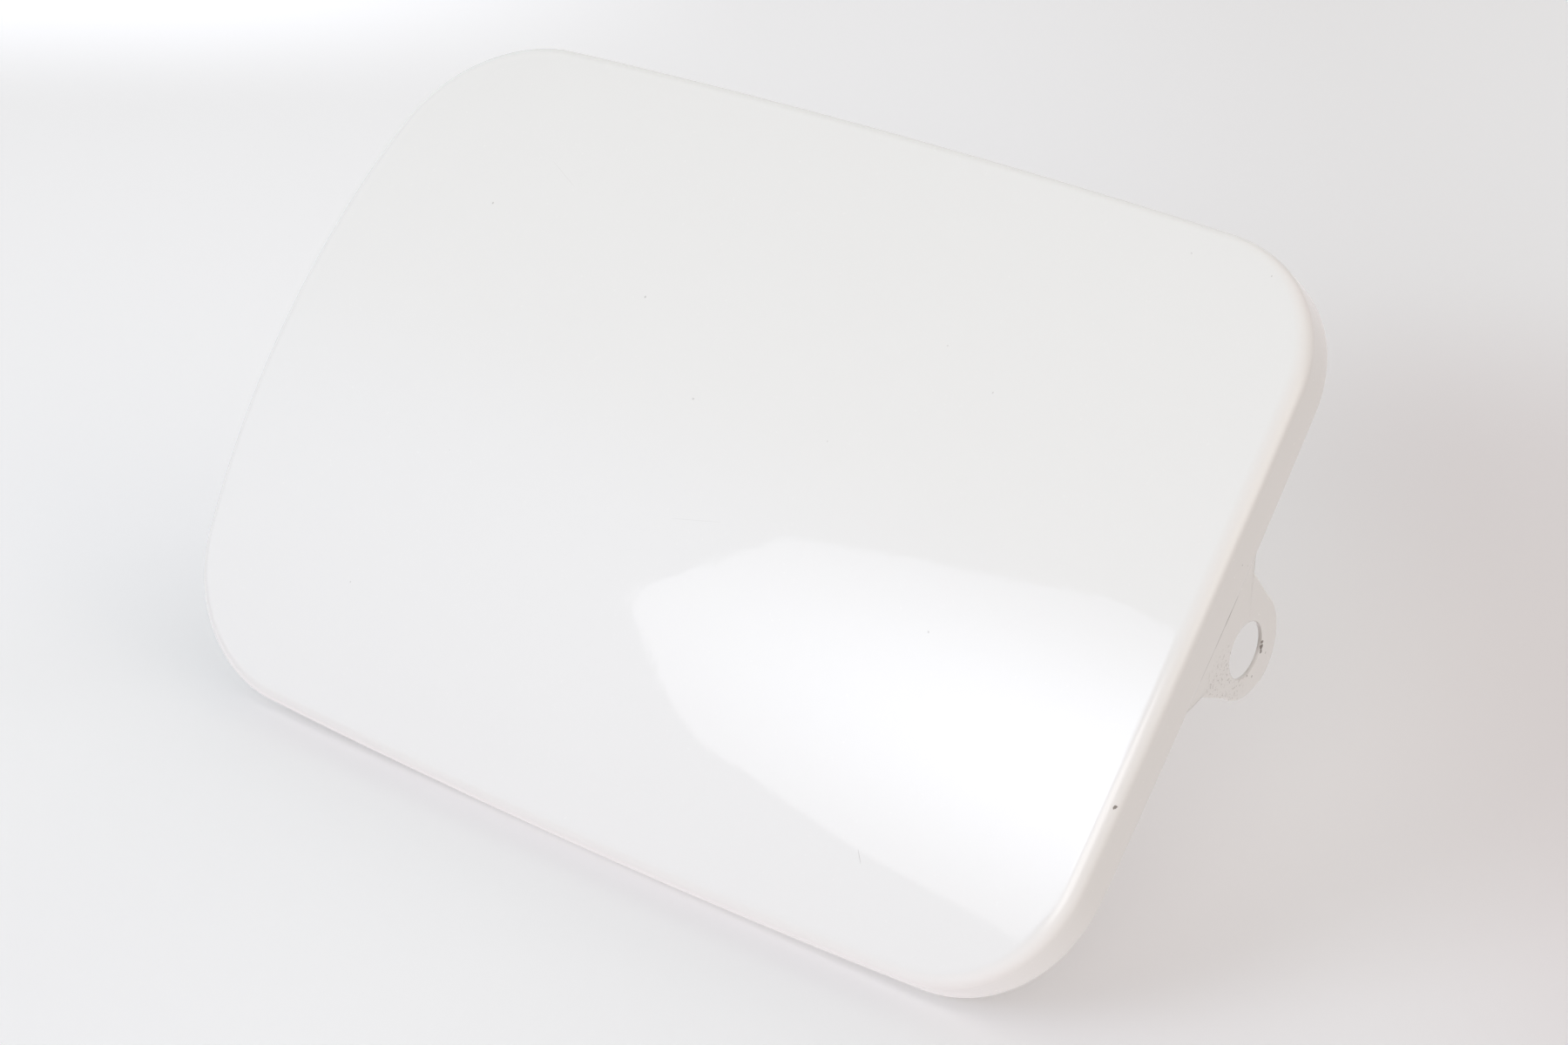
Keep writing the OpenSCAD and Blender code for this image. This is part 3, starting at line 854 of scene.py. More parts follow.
@dataclass(frozen=True)
class WhitePaint:
    """Gloss white car paint: a clear coat with orange peel, stone chips and fine scratches.

    Attributes:
        marks: The chips and specks.
        scratches: The scratches, and the painted shade line along the crease.
        hole: The middle of the lock eye's hole.
        finish: Its name.
        colour: The paint's colour.
        primer: The colour in a chip.
        grime: The colour of dirt, of scratches, of painted crease shade and of the darker bore.
        dust: The colour of dust on the inside.
        cloud: The noise of the clouds.
        cloud_share: How much of their tone they have.
        cloud_tone: How bright that tone is beside the colour.
        mist: The noise of the dust on the inside.
        mist_dust: How much dust it adds.
        even_dust: How much dust lies everywhere on the inside.
        ragged: The noise that makes a chip's edge ragged.
        ragged_width: How wide this noise is.
        mark_edge: How wide the edge of a mark is.
        specks: The noise of the dirt beside the hole.
        speck_dirt: How strong this dirt is.
        dirt_shift: How much nearer to the face and lower than the hole the dirt's middle is.
        dirt_reach: Distances where the dirt begins and where it is full.
        bore_reach: Distances from the hole's axis where the darker bore begins and is full.
        bore_rise: Height over the hole's middle where the bore is darkest.
        bore_dark: How dark the bore is made under the hole's middle.
        bore_darker: How much darker it is at the top.
        lint: The noise of the lint on the clear coat.
        lint_loss: How much of the clear coat's shine it takes.
        peel: The noise of the orange peel.
        peel_height: Its height.
        swell: The noise of a longer swell under it.
        swell_height: Its height.
    """

    marks: Sequence[Mark]
    scratches: Sequence[Scratch]
    hole: Point
    finish: Finish = Finish.PAINT
    colour: Colour = (0.874, 0.861, 0.843)
    primer: Colour = (0.20, 0.17, 0.15)
    grime: Colour = (0.30, 0.27, 0.24)
    dust: Colour = (0.52, 0.49, 0.45)
    cloud: Pattern = Pattern(55, 2)
    cloud_share: float = 0.5
    cloud_tone: float = 0.985
    mist: Pattern = Pattern(420, 5, 0.65, (0.45, 0.75))
    mist_dust: float = 0.28
    even_dust: float = 0.10
    ragged: Pattern = Pattern(2600, 2)
    ragged_width: float = 0.5 * MM
    mark_edge: float = 0.12 * MM
    specks: Pattern = Pattern(1700, 4, 0.7, (0.55, 0.64))
    speck_dirt: float = 0.5
    dirt_shift: Point = (0.0, 2.0 * MM, 5.5 * MM)
    dirt_reach: Ends = (7.5 * MM, 4.0 * MM)
    bore_reach: Ends = (4.78 * MM, 4.66 * MM)
    bore_rise: float = 3 * MM
    bore_dark: float = 0.30
    bore_darker: float = 0.35
    lint: Pattern = Pattern(1500, 3, 0.6, (0.66, 0.74))
    lint_loss: float = 0.7
    peel: Pattern = Pattern(850, 0)
    peel_height: float = 0.0038 * MM
    swell: Pattern = Pattern(95, 0)
    swell_height: float = 0.006 * MM

    def _chipped(self, bench: NodeBench, where: Socket) -> Socket:
        """How much of the primer shows.

        It is a mark's darkness, times a smooth step that rises from the mark's edge inwards.
        The step is taken over the distance from the mark's middle, to which a noise is added
        for a ragged edge. The darkest mark counts.

        Args:
            bench: The bench of the paint's material.
            where: The place.

        Returns:
            The share, from 0 to 1.
        """
        noise = bench.maths("SUBTRACT", bench.noise(where, self.ragged), 0.5)
        ragged = bench.times(noise, self.ragged_width)

        def share(mark: Mark) -> Socket:
            """How much of the primer one mark shows.

            Args:
                mark: The mark.

            Returns:
                The share.
            """
            reach = bench.plus(bench.near(where, mark.spot), ragged)
            edge = mark.width / 2
            return bench.times(bench.ramp(reach, edge, edge - self.mark_edge), mark.dark)

        return reduce(bench.greater, map(share, self.marks))

    def _scratches_and_crease_shade(self, bench: NodeBench, where: Socket) -> Socket:
        """How dark the scratches and the crease's painted shade line are.

        The way from a place to both ends of a scratch is longer than the scratch itself, by
        nothing on its line and by its slack at its side. A scratch's darkness is multiplied
        by a smooth step that rises as this length falls. The darkest scratch counts.

        Args:
            bench: The bench of the paint's material.
            where: The place.

        Returns:
            The share, from 0 to 1.
        """
        def share(scratch: Scratch) -> Socket:
            """How dark one scratch is.

            Args:
                scratch: The scratch.

            Returns:
                The share.
            """
            both = bench.plus(bench.near(where, scratch.start), bench.near(where, scratch.end))
            longer = bench.maths("SUBTRACT", both, math.dist(scratch.start, scratch.end))
            return bench.times(bench.ramp(longer, scratch.slack, 0.0), scratch.dark)

        return reduce(bench.greater, map(share, self.scratches))

    def _dirt_and_dark_bore(self, bench: NodeBench, where: Socket) -> Socket:
        """How much dirt lies beside the lock hole, or how dark its bore is made.

        The dirt is the specks' share times a smooth step that rises towards a spot beside the
        hole. The bore is darkened by a smooth step over the distance from the hole's axis, times
        its darkness, which is more above its middle. The greater of the two counts.

        Args:
            bench: The bench of the paint's material.
            where: The place.

        Returns:
            The share, from 0 to 1.
        """
        spot = tuple(c - shift for c, shift in zip(self.hole, self.dirt_shift))
        around = bench.ramp(bench.near(where, spot), *self.dirt_reach)
        specks = bench.times(around, bench.patches(where, self.specks))
        dirt = bench.times(specks, self.speck_dirt)
        # The bore is made darker, more so above the hole's middle.
        flat = bench.stretch(where, (0.0, 1.0, 1.0))
        bore = bench.ramp(bench.near(flat, (0.0, *self.hole[1:])), *self.bore_reach)
        rise = bench.along(where, (0.0, 0.0, 1.0))
        high = bench.ramp(rise, self.hole[2], self.hole[2] + self.bore_rise)
        bore_darkness = bench.maths("MULTIPLY_ADD", high, self.bore_darker, self.bore_dark)
        return bench.greater(dirt, bench.times(bore, bore_darkness))

    def make(self) -> bpy.types.Material:
        """Makes the paint's material.

        The white is blended with a darker tone by the clouds' share of their noise. The inside
        is dusty by an even share plus the mist's. Dirt with the darker bore, then scratches with
        the painted shade line along the crease, then chips are laid over that. The clear coat is
        1 less the lint's share, and its normal is tilted by the swell and by the orange peel.

        Returns:
            The material.
        """
        material, bench = new_material(self.finish)
        where = bench.place()
        cloud = bench.times(bench.noise(where, self.cloud), self.cloud_share)
        white = bench.blend(cloud, self.colour, tuple(self.cloud_tone * c for c in self.colour))
        mist = bench.patches(where, self.mist)
        dusty = bench.maths("MULTIPLY_ADD", mist, self.mist_dust, self.even_dust)
        white = bench.blend(bench.times(bench.attribute("inner"), dusty), white, self.dust)
        # Dirt beside the hole and the darker bore, in the grime colour.
        white = bench.blend(self._dirt_and_dark_bore(bench, where), white, self.grime)
        # Scratches, and painted shade along the crease, in the grime colour.
        white = bench.blend(self._scratches_and_crease_shade(bench, where), white, self.grime)
        white = bench.blend(self._chipped(bench, where), white, self.primer)
        swell = bench.bump(bench.noise(where, self.swell), self.swell_height)
        normal = bench.bump(bench.noise(where, self.peel), self.peel_height, swell)
        lint = bench.patches(where, self.lint)
        clear = bench.maths("MULTIPLY_ADD", lint, -self.lint_loss, 1.0)
        bench.show(bench.shade(
            "ShaderNodeBsdfPrincipled", Base_Color=white, Roughness=0.42, Normal=normal,
            Specular_IOR_Level=0.3, Coat_Weight=clear, Coat_Roughness=0.012, Coat_IOR=1.5,
            Coat_Normal=normal))
        return material


@dataclass(frozen=True)
class PlatedSteel:
    """Pressed or turned steel: mottled plating over rolling lines, darker where dirt stays.

    Attributes:
        finish: Its name.
        colour: The plating's colour.
        stain: The mottles' colour.
        roughness: The roughness where it is clean.
        grain: How the rolling lines are squeezed along each axis.
        soft: Radius by which the finish softens sharp edges, or 0.
        cloud: The mottles' noise.
        mottle: How strong the mottles are.
        mottle_rough: How much rougher they are.
        dull: The dirt's noise.
        grime: How strong the dirt is.
        grime_rough: How much rougher it is.
        grime_tone: How bright it is beside the stain.
        lines: The rolling lines' noise.
        lines_height: The rolling lines' height.
        spangle: Crystals to the metre.
        spangle_height: The crystals' height.
    """

    finish: Finish
    colour: Colour
    stain: Colour
    roughness: float
    grain: Point = (1.0, 9.0, 9.0)
    soft: float = 0.0
    cloud: Pattern = Pattern(130, 6, 0.62, (0.36, 0.70))
    mottle: float = 0.35
    mottle_rough: float = 0.16
    dull: Pattern = Pattern(48, 4, 0.6, (0.52, 0.72))
    grime: float = 0.25
    grime_rough: float = 0.14
    grime_tone: float = 0.35
    lines: Pattern = Pattern(420, 4, 0.6)
    lines_height: float = 0.012 * MM
    spangle: float = 900.0
    spangle_height: float = 0.006 * MM

    def make(self) -> bpy.types.Material:
        """Makes the plating's material.

        The colour is blended with the stain by the mottles' share, and then with a darker
        stain by the dirt's. The roughness is that of clean plating, plus the mottles' and the
        dirt's.

        Returns:
            The material.
        """
        material, bench = new_material(self.finish)
        where = bench.place()
        cloud, dull = bench.patches(where, self.cloud), bench.patches(where, self.dull)
        tone = bench.blend(bench.times(cloud, self.mottle), self.colour, self.stain)
        tone = bench.blend(bench.times(dull, self.grime), tone,
                           tuple(self.grime_tone * c for c in self.stain))
        stains = bench.plus(bench.times(cloud, self.mottle_rough),
                            bench.times(dull, self.grime_rough))
        spangle = bench.feed(bench.add("ShaderNodeTexVoronoi", feature="F1"), Vector=where,
                             Scale=self.spangle)
        soft = bench.soft_edges(self.soft) if self.soft > 0 else None
        normal = bench.bump(spangle.outputs["Distance"], self.spangle_height, soft)
        lines = bench.noise(bench.stretch(where, self.grain), self.lines)
        bench.show(bench.shade(
            "ShaderNodeBsdfPrincipled", Base_Color=tone, Metallic=1.0,
            Roughness=bench.plus(self.roughness, stains),
            Normal=bench.bump(lines, self.lines_height, normal)))
        return material


@dataclass(frozen=True)
class MouldedRubber:
    """Black moulded rubber with a fine matt skin and patches of dust."""

    finish: Finish = Finish.RUBBER
    colour: Colour = (0.022, 0.022, 0.024)
    dust: Colour = (0.16, 0.15, 0.14)
    film: Pattern = Pattern(260, 5, 0.7, (0.50, 0.78))
    film_share: float = 0.45
    film_rough: float = 0.3
    roughness: float = 0.55
    skin: Pattern = Pattern(2600, 4, 0.6)
    skin_height: float = 0.02 * MM

    def make(self) -> bpy.types.Material:
        """Makes the rubber's material.

        The film's share is blended into the black, and adds to its roughness.

        Returns:
            The material.
        """
        material, bench = new_material(self.finish)
        where = bench.place()
        film = bench.patches(where, self.film)
        skin = bench.bump(bench.noise(where, self.skin), self.skin_height)
        bench.show(bench.shade(
            "ShaderNodeBsdfPrincipled", Normal=skin,
            Base_Color=bench.blend(bench.times(film, self.film_share), self.colour, self.dust),
            Roughness=bench.plus(self.roughness, bench.times(film, self.film_rough))))
        return material


@dataclass(frozen=True)
class NaturalNylon:
    """Natural nylon: translucent, slightly yellow, with a grey film of grease."""

    finish: Finish = Finish.NYLON
    colour: Colour = (0.78, 0.73, 0.60)
    grease: Colour = (0.22, 0.20, 0.17)
    film: Pattern = Pattern(500, 4, 0.6, (0.48, 0.74))
    film_share: float = 0.4
    skin: Pattern = Pattern(1800, 3)
    skin_height: float = 0.01 * MM
    depth: float = 1.2 * MM

    def make(self) -> bpy.types.Material:
        """Makes the nylon's material, into which the film's share of grease is blended.

        Returns:
            The material.
        """
        material, bench = new_material(self.finish)
        where = bench.place()
        film = bench.patches(where, self.film)
        skin = bench.bump(bench.noise(where, self.skin), self.skin_height)
        bench.show(bench.shade(
            "ShaderNodeBsdfPrincipled", Normal=skin, Roughness=0.38,
            Base_Color=bench.blend(bench.times(film, self.film_share), self.colour, self.grease),
            Subsurface_Weight=0.25, Subsurface_Scale=self.depth,
            Subsurface_Radius=(1.0, 0.8, 0.5)))
        return material


# ---------------------------------------------------------------- the hinge


def smooth_faces() -> bpy.types.NodeTree:
    """Makes a geometry group that shades all faces smooth and keeps no edge sharp.

    Returns:
        The group.
    """
    group = bpy.data.node_groups.new("smooth_faces", "GeometryNodeTree")
    for way in ("INPUT", "OUTPUT"):
        group.interface.new_socket("Geometry", in_out=way, socket_type="NodeSocketGeometry")
    last = group.nodes.new("NodeGroupInput").outputs[0]
    for domain in ("FACE", "EDGE"):
        step = group.nodes.new("GeometryNodeSetShadeSmooth")
        step.domain = domain
        group.links.new(last, step.inputs["Geometry"])
        last = step.outputs[0]
    group.links.new(last, group.nodes.new("NodeGroupOutput").inputs[0])
    return group


@dataclass(frozen=True)
class Coat:
    """How one of the hinge's nodes is finished.

    Attributes:
        finish: The finish.
        arris: Radius of its rounded edges in millimetres, or 0 where the finish softens them.
    """

    finish: Finish
    arris: float = 0.0


@dataclass(frozen=True)
class HingeParts:
    """The hinge's CAD nodes, which keep their shape and get a finish and soft arrises.

    Attributes:
        finishes: The material of each finish.
        nodes: The CAD nodes by their names.
        smoothing: The geometry group that shades faces smooth.
        weld: Distance within which corners are joined.
        flat: Angle under which neighbouring faces count as one.
        sharp: Angle over which an edge is rounded.
    """

    finishes: dict[Finish, bpy.types.Material]
    nodes: dict[str, bpy.types.Object]
    smoothing: bpy.types.NodeTree
    weld: float = 0.02 * MM
    flat: float = math.radians(0.5)
    sharp: float = math.radians(32)

    def dress(self, node: str, coat: Coat) -> None:
        """Gives a node its finish and softens its arrises.

        The CAD mesh is loose triangles, so its corners are welded and its flat faces joined
        before its sharp edges are rounded.

        Args:
            node: The CAD node.
            coat: How it is finished.
        """
        part = self.nodes[node]
        part.data.materials.clear()
        part.data.materials.append(self.finishes[coat.finish])
        if coat.arris <= 0:
            return
        weld = part.modifiers.new("weld", "WELD")
        weld.merge_threshold = self.weld
        flat = part.modifiers.new("flat_faces", "DECIMATE")
        flat.decimate_type = "DISSOLVE"
        flat.angle_limit = self.flat
        part.modifiers.new("smooth", "NODES").node_group = self.smoothing
        bevel = part.modifiers.new("arris", "BEVEL")
        bevel.width = coat.arris * MM
        bevel.segments = 2
        bevel.limit_method = "ANGLE"
        bevel.angle_limit = self.sharp
        bevel.use_clamp_overlap = False
        even = part.modifiers.new("even", "WEIGHTED_NORMAL")
        even.keep_sharp = False


# ---------------------------------------------------------------- the studio


@dataclass(frozen=True)
class Glow:
    """Light from one side of the sky.

    Attributes:
        right: How far its direction goes to the picture's right.
        up: How far it goes up from the table. Under 0 it is what the board throws back.
        forward: How far it goes towards the camera.
        colour: Its colour and strength.
        narrow: It is a lamp or a window and not a wall.
    """

    right: float
    up: float
    forward: float
    colour: Colour
    narrow: bool = False


@dataclass(frozen=True)
class BoardPatch:
    """A patch of painted light or shade on the table: its share times one or two smooth steps.

    Attributes:
        across: Where the step to the picture's right is 0 and 1, if it has one.
        closer: Where the step towards the camera is 0 and 1, if it has one.
        share: How strong it is.
        colour: Its colour.
    """

    across: Ends | None
    closer: Ends | None
    share: float = 1.0
    colour: Colour = (1.0, 1.0, 1.0)


@dataclass(frozen=True)
class Studio:
    """A pale table, a lamp box and a room of glowing walls.

    The flap stands on its lower rim and on the corner of its bracket, so in the part's own
    frame the table is a tilted plane. It shows to the camera alone, and from above alone, and
    the sky's lower half stands in for the light that it throws back. The strengths were fitted
    to the tones of the paint, the table and the shadow in the photograph.

    The table's colour holds painted light and shade: it is a little darker at the right, paler
    further back, darkest beside the flap where a painted shadow lies, and greyer at the near
    left. It also glows with painted light at its far left and behind the flap.

    The lamp box is a cloth with lamps behind it, which are given across and up from the line
    to the flap.

    Attributes:
        table_normal: The direction up from the table.
        table_height: Where the table lies along this direction.
        table_half: Half the table's side.
        table_lines: Rows of points on the table.
        rightwards: The picture's right.
        forwards: The direction along the table towards the camera.
        board: The board's colour.
        painted_board_shading: Painted light and shade, each patch laid over those before it.
        painted_board_glows: Patches of painted light that glow.
        painted_glow_colour: The colour of that painted light.
        lamp_from: The start of the line from the flap to the lamp box.
        lamp_towards: Its direction.
        lamp_distance: Its length.
        lamp_middle: Where the cloth's triangles meet.
        lamp_corners: The cloth's corners, in order.
        lamp_colour: The cloth's colour.
        lamp_cloth: Its level far from the lamps.
        lamp_spots: The lamps, each with its place, its reach and its brightness.
        horizon: Where the step from under the table to above it is 0 and 1, as a cosine.
        narrow_glow: Where a narrow glow's step is 0 and 1, as a cosine.
        wide_glow: Where a wide glow's step is 0 and 1, as a cosine.
        glows: The room's light.
        backdrop: The colour that the camera sees behind the table.
        lens: The camera's focal length in millimetres.
        sensor: The width of its sensor in millimetres.
        clip: The nearest and the furthest that it sees.
        camera_up: The direction up in its picture.
        camera_back: The direction from what it looks at to the camera.
        camera_at: Where it stands.
    """

    table_normal: Point = (0.0, -0.6631, 0.7485)
    table_height: float = -28.25 * MM
    table_half: float = 3.0
    table_lines: int = 7
    rightwards: Point = (0.78384, 0.46481, 0.41177)
    forwards: Point = (0.621, -0.587, -0.520)
    board: Colour = (0.955, 0.958, 0.965)
    # Painted light and shade: darker right, paler back, a shadow by the flap, grey near left.
    painted_board_shading: Sequence[BoardPatch] = (
        BoardPatch((-0.12, 0.20), None, 1.0, (0.905, 0.895, 0.902)),
        BoardPatch(None, (0.10, -0.36), 0.5, (0.99, 0.99, 1.0)),
        BoardPatch((0.11, 0.17), (-0.17, -0.06), 1.0, (0.855, 0.819, 0.825)),
        BoardPatch((-0.02, -0.10), (0.03, 0.12), 1.0, (0.925, 0.925, 0.935)),
    )
    # Painted light: the board glows at its far left and behind the flap.
    painted_board_glows: Sequence[BoardPatch] = (
        BoardPatch((0.03, -0.14), (-0.265, -0.38), 0.26),
        BoardPatch((0.19, 0.06), (0.03, -0.04), 0.045),
    )
    painted_glow_colour: Colour = (0.96, 1.0, 1.12)
    lamp_from: Point = (0.045, -0.048, 0.0)
    lamp_towards: Point = (-0.52763, -0.84600, -0.07671)
    lamp_distance: float = 0.9
    lamp_middle: Ends = (-0.250, 0.0)
    lamp_corners: Sequence[Ends] = (
        (0.040, -0.061), (0.055, 0.114), (0.011, 0.181), (-0.031, 0.246), (-0.190, 0.262),
        (-0.780, 0.250), (-0.780, -0.200), (-0.300, -0.200), (-0.229, -0.248),
        (-0.147, -0.235), (-0.051, -0.194),
    )
    lamp_colour: Colour = (0.95, 1.0, 1.10)
    lamp_cloth: float = 1.36
    lamp_spots: Sequence[tuple[float, float, float, float]] = (
        (-0.1686, 0.0085, 0.316, 3.3), (-0.400, 0.020, 0.200, 4.4))
    horizon: Ends = (-0.10, 0.10)
    narrow_glow: Ends = (0.90, 0.985)
    wide_glow: Ends = (0.0, 0.95)
    glows: Sequence[Glow] = (
        Glow(1.0, 0.45, 0.0, (0.742, 0.688, 0.658)),
        Glow(0.0, 0.45, -1.0, (0.172, 0.140, 0.172)),
        Glow(-0.75, 0.45, -0.7, (0.672, 0.738, 0.698)),
        Glow(-0.925, 0.342, 0.163, (0.150, 0.222, 0.390), narrow=True),
        Glow(0.814, 0.342, 0.470, (0.912, 0.870, 0.768), narrow=True),
        Glow(-0.243, 0.342, 0.908, (3.108, 3.006, 2.916), narrow=True),
        Glow(-1.0, -0.6, 0.0, (0.206, 0.190, 0.216)),
        Glow(0.0, -0.6, 1.0, (0.746, 0.700, 0.692)),
        Glow(0.0, -0.6, -1.0, (0.812, 0.778, 0.780)),
    )
    backdrop: Colour = (0.86, 0.86, 0.87)
    lens: float = 78.78
    sensor: float = 36.0
    clip: Ends = (0.02, 20.0)
    camera_up: Point = (-0.28368, -0.32183, 0.90330)
    camera_back: Point = (0.55238, -0.82485, -0.12040)
    camera_at: Point = (0.36655, -0.49669, -0.07050)

    def _axes(self, towards: Point) -> tuple[np.ndarray, np.ndarray, np.ndarray]:
        """The three axes of something that faces the flap.

        Args:
            towards: The direction from the flap.

        Returns:
            The direction with the length 1, the one to its side and the one that leans up the
            table, which is the table's normal without its part along the direction.
        """
        ahead = np.array(towards) / np.linalg.norm(towards)
        up = np.array(self.table_normal) - ahead * (ahead @ np.array(self.table_normal))
        up /= np.linalg.norm(up)
        return ahead, np.cross(ahead, up), up

    def table(self) -> bpy.types.Object:
        """Makes the table, a square in the plane that the flap stands on.

        Returns:
            The table.
        """
        normal = np.array(self.table_normal)
        along = np.array([1.0, 0.0, 0.0])
        across = np.cross(normal, along)
        spread = np.linspace(-self.table_half, self.table_half, self.table_lines)
        u, v = np.meshgrid(spread, spread, indexing="ij")
        points = (normal * self.table_height + u[..., None] * along + v[..., None] * across)
        index = np.arange(spread.size**2).reshape(spread.size, -1)
        quads = np.stack([index[:-1, :-1], index[1:, :-1], index[1:, 1:], index[:-1, 1:]], -1)
        mesh = bpy.data.meshes.new("table")
        mesh.from_pydata(points.reshape(-1, 3).tolist(), [], quads.reshape(-1, 4).tolist())
        mesh.materials.append(self._table_finish())
        made = put_in_scene("table", mesh)
        for ray in ("diffuse", "glossy", "transmission", "shadow"):
            setattr(made, f"visible_{ray}", False)
        return made

    def _table_finish(self) -> bpy.types.Material:
        """Makes the table's matt board with painted light and shade, which is clear from behind.

        Returns:
            The material.
        """
        material, bench = new_material(Finish.BOARD)
        place = bench.place()
        across = bench.along(place, self.rightwards)
        closer = bench.along(place, self.forwards)

        def share(patch: BoardPatch) -> Socket:
            """How much of a patch there is at a place.

            Args:
                patch: The patch.

            Returns:
                The share.
            """
            ways = ((across, patch.across), (closer, patch.closer))
            steps = [bench.ramp(way, *ends) for way, ends in ways if ends]
            return reduce(bench.times, steps, patch.share)

        tone = self.board
        # Painted light and shade: each patch blends its colour into the board's.
        for patch in self.painted_board_shading:
            tone = bench.blend(share(patch), tone, patch.colour)
        # Painted light: the glow patches make the board glow.
        glow = reduce(bench.plus, map(share, self.painted_board_glows))
        matt = bench.shade("ShaderNodeBsdfDiffuse", Color=tone)
        lit = bench.shade("ShaderNodeEmission", Color=self.painted_glow_colour, Strength=glow)
        board = bench.fill(bench.add("ShaderNodeAddShader"), matt, lit).outputs[0]
        behind = bench.add("ShaderNodeNewGeometry").outputs["Backfacing"]
        bench.show(bench.choose(behind, board, bench.shade("ShaderNodeBsdfTransparent")))
        return material

    def lamp_box(self) -> bpy.types.Object:
        """Makes the lamp box's glowing cloth, which the clear coat mirrors.

        The cloth is a fan of triangles round its middle. Its level is one number, plus each
        lamp's brightness times a smooth step that rises from the lamp's reach to its spot.

        Returns:
            The cloth.
        """
        ahead, side, up = self._axes(self.lamp_towards)
        line = np.array([self.lamp_middle, *self.lamp_corners])
        foot = np.array(self.lamp_from) + self.lamp_distance * ahead
        points = foot + line[:, :1] * side + line[:, 1:] * up
        count = len(self.lamp_corners)
        faces = [(0, 1 + i, 1 + (i + 1) % count) for i in range(count)]
        mesh = bpy.data.meshes.new("lamp_box")
        mesh.from_pydata(points.tolist(), [], faces)
        material, bench = new_material(Finish.CLOTH)
        where = bench.place()
        level = self.lamp_cloth
        for across, rise, reach, bright in self.lamp_spots:
            glow = bench.ramp(bench.near(where, foot + across * side + rise * up), reach, 0.0)
            level = bench.maths("MULTIPLY_ADD", glow, bright, level)
        bench.show(bench.shade("ShaderNodeEmission", Color=self.lamp_colour, Strength=level))
        mesh.materials.append(material)
        made = put_in_scene("lamp_box", mesh)
        made.visible_camera = False
        return made

    def sky_light(self) -> None:
        """Makes the room's light.

        It is the sum of the glows. Each one is its colour, times a smooth step over the cosine
        of the angle from its direction, times a step that keeps it above or under the table.
        The camera sees a plain pale backdrop.
        """
        world = bpy.data.worlds.new("sky")
        bpy.context.scene.world = world
        world.use_nodes = True
        bench = NodeBench(world.node_tree)
        where = bench.add("ShaderNodeTexCoord").outputs["Generated"]
        above = bench.ramp(bench.along(where, self.table_normal), *self.horizon)
        under = bench.maths("SUBTRACT", 1.0, above)
        axes = np.array([self.rightwards, self.table_normal, self.forwards])
        total = (0.0, 0.0, 0.0)
        for glow in self.glows:
            towards = np.array([glow.right, glow.up, glow.forward]) @ axes
            cosine = bench.along(where, towards / np.linalg.norm(towards))
            spread = self.narrow_glow if glow.narrow else self.wide_glow
            lobe = bench.times(bench.ramp(cosine, *spread), under if glow.up < 0 else above)
            node = bench.add("ShaderNodeVectorMath", operation="MULTIPLY_ADD")
            total = bench.fill(node, glow.colour, lobe, total).outputs[0]
        seen = bench.add("ShaderNodeLightPath").outputs["Is Camera Ray"]
        light = bench.shade("ShaderNodeBackground", Color=total, Strength=1.0)
        plain = bench.shade("ShaderNodeBackground", Color=self.backdrop, Strength=1.0)
        bench.show(bench.choose(seen, light, plain), "ShaderNodeOutputWorld")

    def camera(self) -> bpy.types.Object:
        """Makes the camera, where the photograph was taken.

        Returns:
            The camera.
        """
        data = bpy.data.cameras.new("camera")
        data.lens = self.lens
        data.sensor_width = self.sensor
        data.clip_start, data.clip_end = self.clip
        made = put_in_scene("camera", data)
        columns = (self.rightwards, self.camera_up, self.camera_back, self.camera_at)
        made.matrix_world = Matrix([*zip(*columns), (0.0, 0.0, 0.0, 1.0)])
        bpy.context.scene.camera = made
        return made

    def build(self) -> None:
        """Sets up the table, the lamp, the sky and the camera."""
        self.camera()
        self.table()
        self.lamp_box()
        self.sky_light()
        bpy.context.scene.view_settings.view_transform = "Standard"


# ---------------------------------------------------------------- putting it together


def paint_marks(pressing: FlapPressing) -> list[Mark]:
    """The chips and specks in the paint.

    A row on the face is x, z, width and darkness, and one on the lock eye is height, depth,
    width and darkness. The lengths are in millimetres.

    Args:
        pressing: The flap's sheet.

    Returns:
        The marks on the face and on the lock eye, and a chip on the roll at the lock end.
    """
    face = [
        (-63.45, 30.72, 0.42, 0.35), (-23.84, 23.02, 0.48, 0.35), (64.71, 57.61, 0.42, 0.3),
        (79.16, 57.62, 0.36, 0.25), (45.72, 25.66, 0.36, 0.25), (34.10, 30.79, 0.36, 0.2),
        (22.09, 9.64, 0.36, 0.2), (-5.34, 9.13, 0.4, 0.25), (-57.28, -39.59, 0.36, 0.3),
        (-47.32, -12.80, 0.36, 0.2), (53.45, -13.3, 0.4, 0.3),
    ]
    eye = [
        (6.0, 22.55, 0.7, 0.9), (5.4, 22.95, 0.9, 0.95), (4.75, 23.35, 0.8, 0.85),
        (5.1, 25.0, 0.45, 0.35), (0.27, 22.3, 0.5, 0.7), (0.68, 23.9, 0.5, 0.7),
        (13.3, 6.3, 0.4, 0.3), (13.8, 8.0, 0.35, 0.3),
    ]
    marks = [Mark(pressing.face_spot(x * MM, z * MM), wide * MM, dark) for x, z, wide, dark in face]
    marks += [Mark(pressing.eye_spot(z * MM, y * MM), wide * MM, dark) for z, y, wide, dark in eye]
    roll = np.array(pressing.middle) + np.array([93.6, 2.4, -27.7]) * MM
    return marks + [Mark(tuple(float(c) for c in roll), 0.95 * MM, 0.9)]


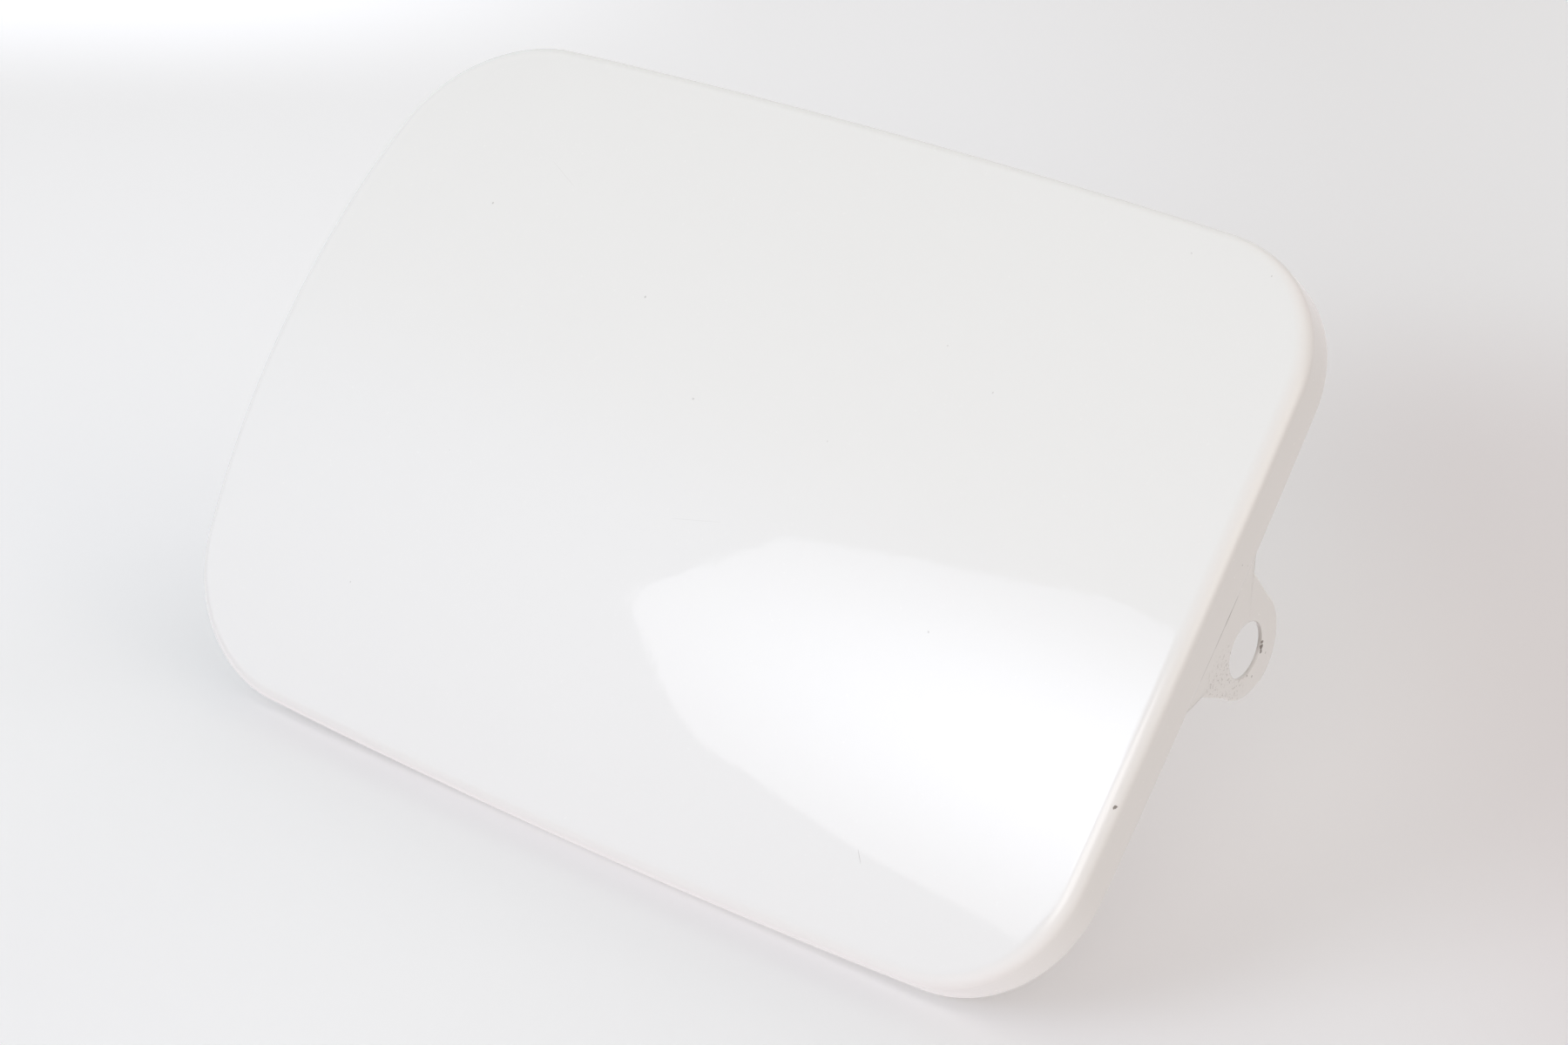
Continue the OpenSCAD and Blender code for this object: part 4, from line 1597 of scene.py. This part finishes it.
def paint_scratches_and_crease_shade(pressing: FlapPressing) -> list[Scratch]:
    """The face's scratches, and painted shade along the crease where the lock eye leaves the rim.

    A row is the two ends, in millimetres, and the darkness.

    Args:
        pressing: The flap's sheet.

    Returns:
        The scratches, and the crease's painted shade line as a chain of them.
    """
    face = [
        ((55.03, -47.81), (56.28, -49.71), 0.45), ((-56.62, 41.38), (-49.24, 37.93), 0.10),
        ((0.5, -10.6), (10.27, -8.34), 0.10),
    ]
    # Painted shade: a dark line along the crease where the lock eye leaves the rim.
    crease = [((9.3, 8.95), (6.2, 8.78), 0.45), ((7.4, 8.84), (3.6, 8.74), 0.85),
              ((4.4, 8.75), (0.0, 8.70), 0.55), ((1.0, 8.70), (-4.9, 8.58), 0.35)]
    lines = [
        Scratch(*(pressing.face_spot(x * MM, z * MM) for x, z in (start, end)), 0.14 * MM, dark)
        for start, end, dark in face
    ]
    return lines + [
        Scratch(*(pressing.eye_spot(z * MM, y * MM) for z, y in (start, end)), 0.42 * MM, dark)
        for start, end, dark in crease
    ]


def main() -> None:
    """Builds the flap's pressing, dresses the hinge and sets up the studio."""
    logging.basicConfig(level=logging.INFO, format="%(message)s")
    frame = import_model()
    low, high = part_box("outer_panel")
    outline = FlapOutline(high.x - low.x, high.z - low.z)
    middle = ((low.x + high.x) / 2, low.y, (low.z + high.z) / 2)
    pressing = FlapPressing(outline, middle)

    Studio().build()
    flap = pressing.build()
    LOG.info("%s: %d faces", flap.name, len(flap.data.polygons))

    zinc, zinc_stain = (0.56, 0.57, 0.575), (0.42, 0.43, 0.43)
    upright = (9.0, 9.0, 1.0)
    looks = (
        WhitePaint(paint_marks(pressing), paint_scratches_and_crease_shade(pressing),
                   pressing.eye_spot(pressing.eye_height, pressing.eye_depth)),
        PlatedSteel(Finish.ZINC, zinc, zinc_stain, 0.36),
        PlatedSteel(Finish.FOLDED, zinc, zinc_stain, 0.36, soft=0.4 * MM),
        PlatedSteel(Finish.YELLOW, (0.62, 0.52, 0.30), (0.50, 0.42, 0.38), 0.30),
        PlatedSteel(Finish.BRIGHT, (0.66, 0.66, 0.66), (0.52, 0.51, 0.50), 0.22, upright),
        PlatedSteel(Finish.SPRING, (0.115, 0.12, 0.135), (0.16, 0.13, 0.10), 0.30, upright),
        NaturalNylon(),
        MouldedRubber(),
    )
    finishes = {look.finish: look.make() for look in looks}
    flap.data.materials.append(finishes[Finish.PAINT])

    hinge = HingeParts(finishes, frame["nodes"], smooth_faces())
    coats = {
        "hinge_plate": Coat(Finish.ZINC, 0.35), "hinge_arm": Coat(Finish.FOLDED),
        "hinge_bracket": Coat(Finish.FOLDED), "weld_nuts": Coat(Finish.YELLOW, 0.2),
        "arm_screws": Coat(Finish.YELLOW, 0.25), "arm_washers": Coat(Finish.BRIGHT, 0.15),
        "hinge_pin": Coat(Finish.BRIGHT, 0.1), "pin_washer": Coat(Finish.BRIGHT, 0.1),
        "pin_clip": Coat(Finish.SPRING, 0.08), "leaf_spring": Coat(Finish.SPRING, 0.12),
        "spring_rivets": Coat(Finish.BRIGHT, 0.05), "upper_bush": Coat(Finish.NYLON, 0.12),
        "lower_bush": Coat(Finish.NYLON, 0.12), "upper_buffer": Coat(Finish.RUBBER, 0.3),
        "lower_buffer": Coat(Finish.RUBBER, 0.3), "upper_stop_rubber": Coat(Finish.RUBBER, 0.1),
        "lower_stop_rubber": Coat(Finish.RUBBER, 0.1),
    }
    for node, coat in coats.items():
        hinge.dress(node, coat)
        LOG.info("%s: %s", node, coat.finish.value)


if __name__ == "__main__":
    main()
